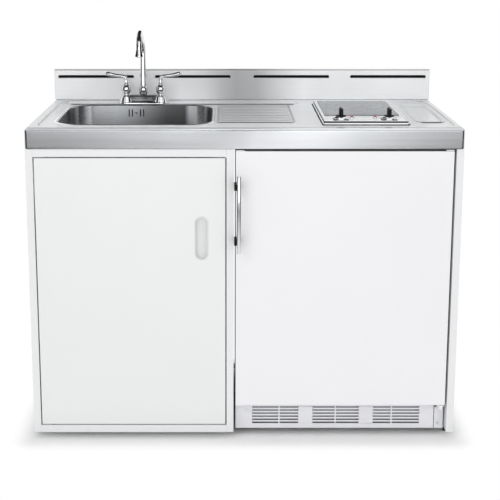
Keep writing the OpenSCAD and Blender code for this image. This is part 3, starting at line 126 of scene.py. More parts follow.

# Painted reflections on the steel, as light and dark bands: places along X in metres, and the share of
# tone there.
TOP_REFLECTION_BANDS = ((-0.61, 0.78), (-0.5, 0.88), (-0.3, 1.0), (0.42, 1.0), (0.5, 0.84), (0.61, 0.76))
APRON_REFLECTION_BANDS = (
    (-0.61, 0.44), (-0.58, 0.48), (-0.41, 0.51), (-0.26, 0.57), (-0.11, 0.76), (0.03, 1.0),
    (0.15, 0.88), (0.32, 0.72), (0.47, 0.7), (0.61, 0.66))
SPLASH_REFLECTION_BANDS = (
    (-0.61, 0.97), (-0.2, 1.0), (-0.12, 0.82), (-0.07, 0.6), (-0.02, 0.48), (0.05, 0.54),
    (0.12, 0.78), (0.2, 1.0), (0.45, 1.0), (0.61, 0.93))
BOWL_REFLECTION_BANDS = (
    (-0.55, 0.5), (-0.5, 0.9), (-0.4, 1.0), (-0.34, 0.8), (-0.3, 0.55), (-0.24, 0.27),
    (-0.182, 0.2), (-0.168, 1.0), (-0.125, 1.0), (-0.112, 0.4), (-0.085, 0.3))


def length(name, text, value):
    """A size property, in millimetres."""
    return bpy.props.FloatProperty(
        name=name, description=text + ", mm", default=value, min=0.0, max=2000.0)


def colour(name, text, red, green, blue):
    """A colour property with its default written as picture levels."""
    return bpy.props.FloatVectorProperty(
        name=name, description=text, subtype="COLOR", size=3, min=0.0, max=1.0,
        default=shade(red, green, blue)[:3])


class KitchenetteTop(bpy.types.PropertyGroup):
    """Sizes of the pressed worktop."""
    round_over: length("Front round-over", "Radius where the top turns into the apron", 7.0)
    rim_slope: length("Rim slope", "Width of the soft step from the rim to the field", 5.0)
    field_drop: length("Field drop", "Depth of the field under the rim", 4.0)
    ledge_rise: length("Ledge rise", "Height of the tap ledge over the field", 2.5)
    dish_drop: length("Dish depth", "Depth of the dished right end", 3.0)
    drainer_drop: length("Drainer depth", "Depth of the draining area", 3.0)
    rib_rise: length("Rib height", "Height of the drainer's ribs", 2.4)
    ribs: bpy.props.IntProperty(name="Ribs", description="Ribs of the drainer", default=10, min=1)
    lip_width: length("Lip width", "Width of the rolled lip round the bowl", 10.0)
    lip_rise: length("Lip rise", "Height of the rolled lip over the field", 1.3)


class KitchenetteTap(bpy.types.PropertyGroup):
    """Sizes of the mixer tap."""
    foot: length("Spout foot", "Radius of the spout where it leaves its collar", 10.3)
    neck: length("Spout neck", "Radius of the spout's neck", 8.0)
    bell: length("Bell foot", "Radius of the bells at the deck", 24.8)
    waist: length("Bell waist", "Radius of the bells at their waist", 11.0)
    lever: length("Lever reach", "Distance from hub to lever tip", 60.0)


class KitchenetteStage(bpy.types.PropertyGroup):
    """The studio round the unit."""
    lens: bpy.props.FloatProperty(
        name="Lens", description="Focal length", default=83.0, unit="CAMERA")
    tilt: bpy.props.FloatProperty(
        name="Tilt", description="How far the camera looks down", subtype="ANGLE",
        default=math.radians(11.5))
    sky: bpy.props.FloatProperty(
        name="Sky", description="Strength of the soft light from all round", default=0.62, min=0.0)


class KitchenetteColours(bpy.types.PropertyGroup):
    """The colours of the main finishes."""
    steel: colour("Steel", "Brushed steel of the top", 230, 232, 234)
    chrome: colour("Chrome", "Plated tap and handle", 232, 233, 235)
    cabinet: colour("Cabinet", "White cabinet panels", 234, 235, 236)
    door: colour("Cabinet door", "White cabinet door", 236, 238, 237)
    fridge: colour("Refrigerator", "White enamel of the refrigerator", 241, 241, 243)
    glass: colour("Hob glass", "Grey glass of the hob", 126, 130, 135)
    pilot: colour("Pilot lights", "Red lenses", 190, 28, 24)


# ---- shader wiring ----

class Reading:
    """What a socket gives at each spot of a surface; arithmetic on it adds Math nodes."""

    def __init__(self, wiring, socket):
        self.wiring = wiring
        self.socket = socket

    def work(self, operation, *values):
        return self.wiring.node("ShaderNodeMath", {"operation": operation}, dict(enumerate(values)))

    def __add__(self, other):
        return self.work("ADD", self, other)

    __radd__ = __add__

    def __sub__(self, other):
        return self.work("SUBTRACT", self, other)

    def __rsub__(self, other):
        return self.work("SUBTRACT", other, self)

    def __mul__(self, other):
        return self.work("MULTIPLY", self, other)

    __rmul__ = __mul__

    def __pow__(self, other):
        return self.work("POWER", self, other)


class Wiring:
    """A node tree that is filled one node at a time."""

    def __init__(self, tree):
        self.tree = tree
        tree.nodes.clear()

    def node(self, kind, settings=None, sockets=None, output=0):
        """Adds a node, makes its settings, fills its sockets and gives back one output."""
        made = self.tree.nodes.new(kind)
        for name, value in (settings or {}).items():
            if name == "stops":
                stops = made.color_ramp.elements
                while len(stops) > 1:
                    stops.remove(stops[-1])
                stops[0].position, stops[0].color = value[0]
                for place, tint in value[1:]:
                    stops.new(place).color = tint
            else:
                setattr(made, name, value)
        for name, value in (sockets or {}).items():
            if isinstance(value, Reading):
                self.tree.links.new(value.socket, made.inputs[name])
            else:
                made.inputs[name].default_value = value
        return Reading(self, made.outputs[output]) if len(made.outputs) else made


class Finish(Wiring):
    """One material, wired in object coordinates so that it stays with its piece."""

    def __init__(self, name):
        self.material = bpy.data.materials.new(name)
        self.material.use_nodes = True
        super().__init__(self.material.node_tree)
        self.place = self.node("ShaderNodeTexCoord", output="Object")

    def axis(self, name):
        return self.node("ShaderNodeSeparateXYZ", {}, {"Vector": self.place}, name)

    def noise(self, grains, detail=2.0, roughness=0.5, shift=0.0):
        """Noise with its own number of grains to the metre along each axis, or one for all."""
        grains = grains if isinstance(grains, tuple) else (grains,) * 3
        spot = self.node("ShaderNodeMapping", {}, {
            "Vector": self.place, "Scale": grains, "Location": (shift, shift, shift)})
        return self.node("ShaderNodeTexNoise", {}, {
            "Vector": spot, "Scale": 1.0, "Detail": detail, "Roughness": roughness}, "Fac")

    def ease(self, value, low, high, bottom=0.0, top=1.0):
        """A soft step from bottom to top while value goes from low to high."""
        return self.node("ShaderNodeMapRange", {"interpolation_type": "SMOOTHSTEP"}, {
            "Value": value, "From Min": low, "From Max": high, "To Min": bottom, "To Max": top})

    def blend(self, share, first, second):
        return self.node("ShaderNodeMix", {"data_type": "RGBA"}, {0: share, 6: first, 7: second}, 2)

    def bump(self, height, depth):
        return self.node("ShaderNodeBump", {}, {
            "Height": height, "Distance": depth, "Strength": 1.0}, "Normal")

    def done(self, sockets):
        """Ends the material in one shader and gives it back."""
        shader = self.node("ShaderNodeBsdfPrincipled", {}, sockets)
        self.node("ShaderNodeOutputMaterial", {}, {"Surface": shader})
        return self.material


# ---- finishes ----

def brushed(name, colour, rough=0.3, grain=1.0, marks=0.04, smear=0.0, metal=1.0,
            reflection_bands=(), upright=(), crease=()):
    """Brushed steel: long fine lines, a soft cloudiness and a few rub marks.

    smear spreads reflections square to the lines, as brushing does on upright faces.
    reflection_bands paints reflections: places along X in metres and the share of the tone left at
    each, upright the two heights between which they come in, and crease two places along Y and
    the share of the tone left between them, a painted shade line."""
    finish = Finish(name)
    lines = finish.noise((5, 620, 620), 3.0, 0.6)
    streaks = finish.noise((2.2, 130, 130), 2.0, 0.5, 7.0)
    cloud = finish.noise(3.0, 3.0, 0.55, 3.0)
    rubbed = finish.ease(finish.noise((14, 22, 14), 4.0, 0.6, 11.0), 0.56, 0.75)
    tint = lines * 0.45 + streaks * 0.35 + cloud * 0.2
    base = finish.blend(tint, tone(colour, 0.88), tone(colour, 1.08))
    if reflection_bands:
        start, end = reflection_bands[0][0], reflection_bands[-1][0]
        # The bands are painted reflections, light and dark across X.
        place = finish.node("ShaderNodeMapRange", {}, {
            "Value": finish.axis("X"), "From Min": start, "From Max": end})
        left = finish.node("ShaderNodeValToRGB", {"stops": [
            ((x - start) / (end - start), (level, level, level, 1)) for x, level in reflection_bands]}, {0: place})
        if upright:
            wall = finish.ease(finish.axis("Z"), *upright)
            left = wall * left + (1 - wall) * 0.75
        base = finish.blend(left, (0, 0, 0, 1), base)
    # A painted shade line: the tone drops between two places along Y.
    if crease:
        near, far, level = crease
        y = finish.axis("Y")
        dull = finish.ease(y, near, near + 0.003) * (1 - finish.ease(y, far - 0.003, far))
        base = finish.blend(dull * (1 - level), base, (0, 0, 0, 1))
    return finish.done({
        "Base Color": base, "Metallic": metal,
        "Roughness": rough - 0.07 * grain + lines * (0.1 * grain) + streaks * 0.05 + rubbed * marks,
        "Anisotropic": smear, "Anisotropic Rotation": 0.25 if smear else 0.0,
        "Normal": finish.bump(lines * 0.7 + streaks * 0.3, 0.00006 * grain)})


def plated(name, colour, rough=0.06):
    """Bright plating: nearly a mirror, with faint water spots and a slow ripple."""
    finish = Finish(name)
    spots = finish.ease(finish.noise(160, 3.0, 0.5), 0.6, 0.72)
    ripple = finish.noise(42, 1.0, 0.4, 5.0)
    return finish.done({
        "Base Color": finish.blend(ripple, tone(colour, 0.94), tone(colour, 1.02)), "Metallic": 1.0,
        "Roughness": rough + spots * 0.05 + ripple * 0.02,
        "Normal": finish.bump(ripple, 0.00005)})


def enamel(name, colour, rough, peel=1.0, low_shade=0.0):
    """Sprayed white: fine orange peel, slow mottling, and painted shade that darkens it towards the
    bottom.
    """
    finish = Finish(name)
    peeling = finish.noise(420, 2.0, 0.5)
    mottle = finish.noise(7, 4.0, 0.6, 4.0)
    # Painted shade: darker towards the bottom.
    low = finish.ease(finish.axis("Z"), 0.1, 0.8, 1.0, 0.0)
    base = finish.blend(mottle * 0.6 + low * low_shade, tone(colour, 1.01), tone(colour, 0.95))
    return finish.done({
        "Base Color": base, "Roughness": rough + mottle * 0.08 + peeling * 0.03,
        "Coat Weight": 0.12, "Normal": finish.bump(peeling, 0.00005 * peel)})


def moulded(name, colour, rough=0.45, grain=900, depth=0.00004, spread=0.06, gloss=0.5):
    """Moulded plastic or rubber: fine spark grain and a slow change of tone."""
    finish = Finish(name)
    spark = finish.noise(grain, 2.0, 0.6)
    slow = finish.noise(18, 3.0, 0.5, 2.0)
    return finish.done({
        "Base Color": finish.blend(slow, tone(colour, 1 - spread), tone(colour, 1 + spread)),
        "Roughness": rough + spark * 0.08 + slow * 0.05, "Specular IOR Level": gloss,
        "Normal": finish.bump(spark, depth)})


def spangled(name, colour):
    """Galvanised sheet: dull zinc crystals that differ in tone and gloss."""
    finish = Finish(name)
    crystal = finish.node("ShaderNodeTexVoronoi", {"feature": "F1"}, {
        "Vector": finish.place, "Scale": 70.0}, "Color")
    level = finish.node("ShaderNodeSeparateXYZ", {}, {"Vector": crystal}, "X")
    dull = finish.noise(9, 3.0)
    return finish.done({
        "Base Color": finish.blend(level * 0.6 + dull * 0.4, tone(colour, 0.86), tone(colour, 1.1)),
        "Metallic": 1.0, "Roughness": 0.42 + level * 0.12,
        "Normal": finish.bump(level, 0.00003)})


def see_through(name, colour, rough=0.04, ior=1.5):
    """Clear glass or plastic with faint wipe marks."""
    finish = Finish(name)
    wiped = finish.noise((30, 90, 30), 3.0, 0.6)
    return finish.done({
        "Base Color": finish.blend(wiped, tone(colour, 0.97), tone(colour, 1.0)),
        "Roughness": rough + wiped * 0.04, "IOR": ior, "Transmission Weight": 0.92})


def rings_of_heat(name, colour, centres):
    """Grey hob glass with the faint rings that mark its two heating places."""
    finish = Finish(name)
    east, north = finish.axis("X"), finish.axis("Y")
    mark = None
    for x, y, radius in centres:
        away = ((east - x * MM) ** 2.0 + (north - y * MM) ** 2.0) ** 0.5
        for share in (1.0, 0.66, 0.34):
            gap = away - radius * share * MM
            line = finish.ease(gap * gap, 0.0, 2.6e-6, 1.0, 0.0)
            mark = line if mark is None else mark.work("MAXIMUM", mark, line)
    smear = finish.noise((9, 16, 9), 4.0, 0.6)
    speck = finish.noise(900, 2.0, 0.6, 3.0)
    base = finish.blend(mark * 0.5, tone(colour, 1.0), tone(colour, 1.45))
    base = finish.blend(smear * 0.25 + speck * 0.12, base, tone(colour, 0.8))
    return finish.done({
        "Base Color": base, "Roughness": 0.12 + smear * 0.08 + mark * 0.2,
        "Specular IOR Level": 0.35, "Normal": finish.bump(smear, 0.00004)})


def paint(names, material):
    """Gives CAD nodes a finish through their material slots."""
    for name in names.split():
        for place in NODES[name].material_slots:
            place.material = material


def even_light(made, weight=50):
    """Evens the shading over bent and rounded faces."""
    even = made.modifiers.new("even light", "WEIGHTED_NORMAL")
    even.keep_sharp = True
    even.weight = weight


def soften(names, width, steps=2):
    """Rounds the hard edges of CAD nodes, which stay as they are underneath."""
    for name in names.split():
        node = NODES[name]
        weld = node.modifiers.new("weld", "WELD")
        weld.merge_threshold = 0.00001
        bevel = node.modifiers.new("soft edges", "BEVEL")
        bevel.width = width * MM
        bevel.segments = steps
        bevel.limit_method = "ANGLE"
        bevel.angle_limit = math.radians(35)
        bevel.use_clamp_overlap = True
        even_light(node)


# ---- mesh making, in millimetres ----

def linked(name, bm, material):
    """Turns mesh work into an object in the scene."""
    mesh = bpy.data.meshes.new(name)
    bm.to_mesh(mesh)
    bm.free()
    mesh.materials.append(material)
    made = bpy.data.objects.new(name, mesh)
    bpy.context.scene.collection.objects.link(made)
    return made


def piece(name, bm, body, material, stands_for=(), crease=40.0):
    """Makes an object that rides on a body, in place of the CAD nodes it stands for."""
    bmesh.ops.recalc_face_normals(bm, faces=bm.faces)
    made = linked(name, bm, material)
    made.data.transform(Matrix.Scale(MM, 4))
    for polygon in made.data.polygons:
        polygon.use_smooth = True
    made.data.set_sharp_from_angle(angle=math.radians(crease))
    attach(made, body)
    if stands_for:
        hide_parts(*stands_for)
    return made


def rounded(x0, x1, y0, y1, radius, steps=10):
    """A rounded rectangle's points, anticlockwise."""
    points = []
    corners = ((x1 - radius, y1 - radius), (x0 + radius, y1 - radius),
               (x0 + radius, y0 + radius), (x1 - radius, y0 + radius))
    for corner, (cx, cy) in enumerate(corners):
        for step in range(steps + 1):
            turn = math.radians(90 * (corner + step / steps))
            points.append((cx + radius * math.cos(turn), cy + radius * math.sin(turn)))
    return points


def bridge(bm, first, second):
    """Quads between two rings with the same number of points."""
    for i in range(len(first)):
        j = (i + 1) % len(first)
        bm.faces.new((first[i], first[j], second[j], second[i]))


def press(bm, box, radius, profile, steps=10):
    """Rings of one rounded rectangle; the profile gives each ring's outset and height."""
    x0, x1, y0, y1 = box
    rings = []
    for out, height in profile:
        points = rounded(x0 - out, x1 + out, y0 - out, y1 + out, max(radius + out, 0.4), steps)
        rings.append([bm.verts.new((x, y, height)) for x, y in points])
    for first, second in zip(rings, rings[1:]):
        bridge(bm, first, second)
    return rings[0], rings[-1]


def above(level, *profile):
    """A profile whose heights are counted from a level."""
    return [(out, level + height) for out, height in profile]


def slope(out0, z0, out1, z1, steps=8):
    """A soft S from one level to another."""
    profile = []
    for i in range(steps + 1):
        t = i / steps
        profile.append((out0 + (out1 - out0) * t, z0 + (z1 - z0) * t * t * (3 - 2 * t)))
    return profile


def within(x, y, loop):
    """Whether a point lies inside a closed row of vertices."""
    odd = False
    for i, a in enumerate(loop):
        b = loop[i - 1]
        if (a.co.y > y) != (b.co.y > y):
            if x < (b.co.x - a.co.x) * (y - a.co.y) / (b.co.y - a.co.y) + a.co.x:
                odd = not odd
    return odd


def fill(bm, outline, *holes):
    """Fills a flat area inside one loop and outside the others."""
    verts, edges = [], []
    for loop in (outline, *holes):
        first, count = len(verts), len(loop)
        verts += loop
        edges += [(first + i, first + (i + 1) % count) for i in range(count)]
    flat = [Vector((vert.co.x, vert.co.y)) for vert in verts]
    _, _, triangles, sources, _, _ = delaunay_2d_cdt(flat, edges, [], 0, 0.00001)
    for triangle in triangles:
        corners = [verts[sources[i][0]] for i in triangle]
        x = sum(vert.co.x for vert in corners) / 3
        y = sum(vert.co.y for vert in corners) / 3
        if within(x, y, outline) and not any(within(x, y, hole) for hole in holes):
            bm.faces.new(corners)


def capped(bm, box, radius, profile, steps=10):
    """Rings as press makes them, with the last one filled; gives back the first."""
    first, last = press(bm, box, radius, profile, steps)
    fill(bm, last)
    return first


def plate(bm, x0, x1, y, z0, z1):
    """A flat upright face across X."""
    bm.faces.new([bm.verts.new(p) for p in ((x0, y, z0), (x1, y, z0), (x1, y, z1), (x0, y, z1))])


def folded(bm, x0, x1, section):
    """A strip along X through the places (y, z) of its section."""
    rows = [[bm.verts.new((x, y, z)) for x in (x0, x1)] for y, z in section]
    for first, second in zip(rows, rows[1:]):
        bm.faces.new((first[0], first[1], second[1], second[0]))


def turned(bm, x, y, profile, sides=48):
    """A turned form about an upright axis, from radii and heights, closed at radius 0."""
    rows = []
    for radius, height in profile:
        if radius < 0.01:
            rows.append([bm.verts.new((x, y, height))])
        else:
            rows.append([bm.verts.new((
                x + radius * math.cos(2 * math.pi * i / sides),
                y + radius * math.sin(2 * math.pi * i / sides), height)) for i in range(sides)])
    for first, second in zip(rows, rows[1:]):
        if len(first) == 1 or len(second) == 1:
            tip, ring = (first[0], second) if len(first) == 1 else (second[0], first)
            for i in range(len(ring)):
                bm.faces.new((tip, ring[i], ring[(i + 1) % len(ring)]))
        else:
            bridge(bm, first, second)


def swept(bm, path, radii, sides=36, flat=1.0, side_axis=(1, 0, 0)):
    """A tube along a path in a plane; side_axis is square to that plane."""
    across = Vector(side_axis)
    rows = []
    for i, spot in enumerate(path):
        ahead = Vector(path[min(i + 1, len(path) - 1)]) - Vector(path[max(i - 1, 0)])
        up = ahead.normalized().cross(across).normalized()
        ring = []
        for k in range(sides):
            turn = 2 * math.pi * k / sides
            ring.append(bm.verts.new(
                Vector(spot) + across * (radii[i] * math.cos(turn))
                + up * (radii[i] * flat * math.sin(turn))))
        rows.append(ring)
    for first, second in zip(rows, rows[1:]):
        bridge(bm, first, second)
    bm.faces.new(rows[0])
    bm.faces.new(rows[-1])


def sheet(name, corners, finish):
    """One flat face in metres, for the stage."""
    bm = bmesh.new()
    bm.faces.new([bm.verts.new(corner) for corner in corners])
    return linked(name, bm, finish.material)


def smooth_path(points, steps=6):
    """A smooth curve through points and radii given together, as (x, y, z, radius)."""
    spots, radii = [], []
    count = len(points)
    for i in range(count - 1):
        p = [points[max(0, min(count - 1, i + k))] for k in (-1, 0, 1, 2)]
        for step in range(steps + (i == count - 2)):
            t = step / steps
            value = [
                0.5 * (2 * b + (c - a) * t + (2 * a - 5 * b + 4 * c - d) * t * t
                       + (3 * b - a - 3 * c + d) * t ** 3)
                for a, b, c, d in zip(*p)]
            spots.append(tuple(value[:3]))
            radii.append(max(0.2, value[3]))
    return spots, radii


# ---- the pieces ----

def field_height():
    """Height of the worktop's flat field."""
    return TOP[5] - bpy.context.scene.kitchenette_top.field_drop


def behind_front(area):
    """An area of the worktop as x0, x1, y0, y1."""
    x0, x1, near, far = area
    return x0, x1, TOP[2] + near, TOP[2] + far


def hue(name):
    """One of the colours that the panel lists, with its alpha."""
    return tuple(getattr(bpy.context.scene.kitchenette_colours, name)) + (1.0,)


class KITCHENETTE_OT_top(bpy.types.Operator):
    """Press the steel top and finish the backsplash"""
    bl_idname = "kitchenette.top"
    bl_label = "Worktop and backsplash"

    def execute(self, context):
        top = context.scene.kitchenette_top
        steel = hue("steel")
        x0, x1, y0, y1, z0, rim = TOP
        field = field_height()
        bm = bmesh.new()
        r = top.round_over
        edge = [(-r + r * math.sin(a), rim - r + r * math.cos(a))
                for a in (math.radians(90 * i / 8) for i in range(9))]
        edge += above(z0, (0, 3), (-0.35, 0.8), (-1.2, 0), (-14, 0))
        outside, _ = press(bm, (x0, x1, y0, y1), 8, edge)
        rim_edge, field_edge = press(
            bm, behind_front(FIELD), 50, slope(top.rim_slope, rim, 0, field), 16)
        fill(bm, outside, rim_edge)
        ledge = capped(bm, behind_front(LEDGE), 28, slope(0, field, -1.3, field + top.ledge_rise, 5))
        crest = field + 2.4
        dish = capped(bm, behind_front(DISH), 30, (
            slope(0, field, -3, crest, 4) + slope(-4, crest, -16, field - top.dish_drop)))

        low = field - top.drainer_drop
        drainer, drainer_floor = press(bm, behind_front(DRAINER), 14, slope(0, field, -4.5, low))
        left, right, near, far = behind_front(DRAINER)
        pitch = (far - near - 24) / top.ribs
        half = pitch / 2 - 2.6
        rib_feet = []
        for i in range(top.ribs):
            middle = near + 12 + pitch * (i + 0.5)
            rib_feet.append(capped(
                bm, (left + 6, right - 6, middle - half, middle + half), 6,
                slope(0, low, -4.6, low + top.rib_rise, 5), 5))
        fill(bm, drainer_floor, *rib_feet)

        w, h = top.lip_width, top.lip_rise
        lip = above(field, (w, 0), (w * 0.86, h * 0.25), (w * 0.7, h * 0.7), (w * 0.55, h),
                    (w * 0.4, h * 0.95), (w * 0.25, h * 0.55), (w * 0.13, -0.3), (w * 0.04, -1.6),
                    (0, -3.2))
        lip_foot, _ = press(bm, behind_front(BOWL_LIP), 72, lip, 16)
        pan = span("hob_pan")
        cut, _ = press(bm, (pan[0] - 1, pan[1] + 1, pan[2] - 1, pan[3] + 1), 4,
                       above(field, (0, 0), (-0.6, -0.7), (-0.6, -6)), 4)
        fill(bm, field_edge, ledge, dish, drainer, lip_foot, cut)
        # The top's steel carries painted reflection bands across X and a painted shade line behind the
        # front edge; the apron's steel carries painted reflection bands.
        made = piece(
            "worktop_pressing", bm, "unit",
            brushed("worktop_steel_brushed", tone(steel, 1.1), 0.2, 0.3, metal=0.5,
                    reflection_bands=TOP_REFLECTION_BANDS, crease=((y0 + 8) * MM, (y0 + 30) * MM, 0.5)), ("worktop",), 60)
        for extra in (
                brushed("lip_steel_polished", tone(steel, 1.15), 0.16, 0.3),
                brushed("groove_steel_dull", tone(steel, 0.66), 0.4, 0.5, metal=0.6),
                brushed("crease_steel_dark", tone(steel, 0.16), 0.4, 0.5, metal=0.7),
                brushed("apron_steel_brushed", steel, 0.14, 0.06, 0.015, 0.4, reflection_bands=APRON_REFLECTION_BANDS)):
            made.data.materials.append(extra)
        # The drainer's grooves, its front groove, the ledge's front step and the dish's front crease get
        # darkened steel as painted shade.
        groove_top, rib_top = low + 0.7, low + top.rib_rise - 0.05
        for polygon in made.data.polygons:
            x, y, z = (value / MM for value in polygon.center)
            y -= y0
            ahead, level = -polygon.normal.y, abs(polygon.normal.z)
            finish = 0
            if level < 0.5 and z < rim - 6:
                finish = APRON
            elif (BOWL_LIP[0] - 11 < x < BOWL_LIP[1] + 11
                  and BOWL_LIP[2] - 11 < y < BOWL_LIP[3] + 11 and abs(z - field) > 0.01):
                finish = LIP
            elif DRAINER[0] + 3 < x < DRAINER[1] - 3 and (
                    z < groove_top or z < rib_top and ahead > 0.2):
                finish = CREASE_SHADE if y < DRAINER[2] + 20 else GROOVE_SHADE
            elif x < LEDGE[1] - 2 and LEDGE[2] - 3 < y < LEDGE[2] + 4 and level < 0.97 and z > field:
                finish = CREASE_SHADE
            elif (DISH[0] + 13 < x < DISH[1] - 5 and DISH[2] - 1 < y < DISH[2] + 6
                  and ahead > 0.15 and z > field + 0.02):
                finish = CREASE_SHADE
            polygon.material_index = finish
        even_light(made, 80)

        # A black channel behind the vent slots stands in for the shade inside them.
        splash = span("backsplash")
        bm = bmesh.new()
        folded(bm, splash[0] + 8, splash[1] - 8, [
            (splash[2] + y, splash[5] + z)
            for y, z in ((2, -12), (12, -14), (13, -24), (12, -26), (2, -28))])
        piece("vent_channel", bm, "unit",
              moulded("channel_black", shade(12, 12, 13), 0.8))

        bm = bmesh.new()
        face, back = -splash[2], -splash[3]
        _, front = press(bm, (splash[0], splash[1], splash[4], splash[5]), 1.6, (
            above(back, (-7, 0), (0, 0))
            + above(face, (0, -2.6), (-0.5, -1.1), (-1.5, -0.3), (-3.2, 0))), 3)
        slots = [press(
            bm, (middle - 123, middle + 123, splash[5] - 29.25, splash[5] - 18.75), 5.2,
            above(face, (0.9, 0), (0.3, -0.25), (0, -0.9), (0, -5)), 6)[0]
            for middle in SLOT_MIDDLES]
        fill(bm, front, *slots)
        bm.transform(Matrix.Rotation(math.radians(90), 4, "X"))
        # The backsplash's steel carries painted reflection bands across X.
        made = piece(
            "backsplash_folded", bm, "unit",
            brushed("backsplash_steel_brushed", tone(steel, 1.22), 0.34, 0.6, 0.02, 0.95, 0.18,
                    SPLASH_REFLECTION_BANDS), ("backsplash",), 50)
        made.data.materials.append(brushed("fold_steel_shaded", tone(steel, 0.35), 0.3, metal=0.7))
        for polygon in made.data.polygons:
            if 0.12 < polygon.normal.z < 0.9 and polygon.center.z > (splash[5] - 4) * MM:
                polygon.material_index = 1
        even_light(made)

        # A grey sealant bead at the backsplash's foot, darker than the steel as the painted shadow line
        # there.
        bm = bmesh.new()
        folded(bm, splash[0] + 12, splash[1] - 12, [
            (splash[2] + 0.1 - 3 * math.cos(a), field + 3 * math.sin(a))
            for a in (math.radians(15 * i) for i in range(7))])
        piece("sealant_bead", bm, "unit",
              moulded("sealant_grey", shade(112, 115, 117), 0.5, 300, 0.0001, 0.12))
        return {"FINISHED"}


class KITCHENETTE_OT_bowl(bpy.types.Operator):
    """Finish the sink bowl and its waste"""
    bl_idname = "kitchenette.bowl"
    bl_label = "Bowl and waste"

    def execute(self, context):
        # The bowl's walls carry painted reflection bands across X; its floor a plain share of the tone.
        paint("sink_bowl drain_body", brushed(
            "bowl_steel_satin", hue("steel"), 0.26, 0.15, 0.0, 0.95, 1.0, BOWL_REFLECTION_BANDS, (0.78, 0.835)))
        paint("strainer_basket tailpiece trap_bend trap_arm", plated("waste_chrome", hue("chrome"), 0.1))
        paint("overflow_pipe", moulded("overflow_white", shade(228, 228, 224), 0.5))
        box = span("sink_bowl")
        middle, wall = box[0] + 211.5, box[3] - 6.5
        # Black plates behind the overflow slots stand in for the shade inside them.
        bm = bmesh.new()
        for side in (-1, 1):
            plate(bm, middle + side * 9, middle + side * 27, wall, box[5] - 36.3, box[5] - 9.3)
        piece("overflow_gap", bm, "unit",
              moulded("overflow_gap_black", shade(9, 9, 10), 0.9, gloss=0.0))
        paint("pipe_nuts", plated("nut_brass", shade(206, 172, 98), 0.24))
        return {"FINISHED"}


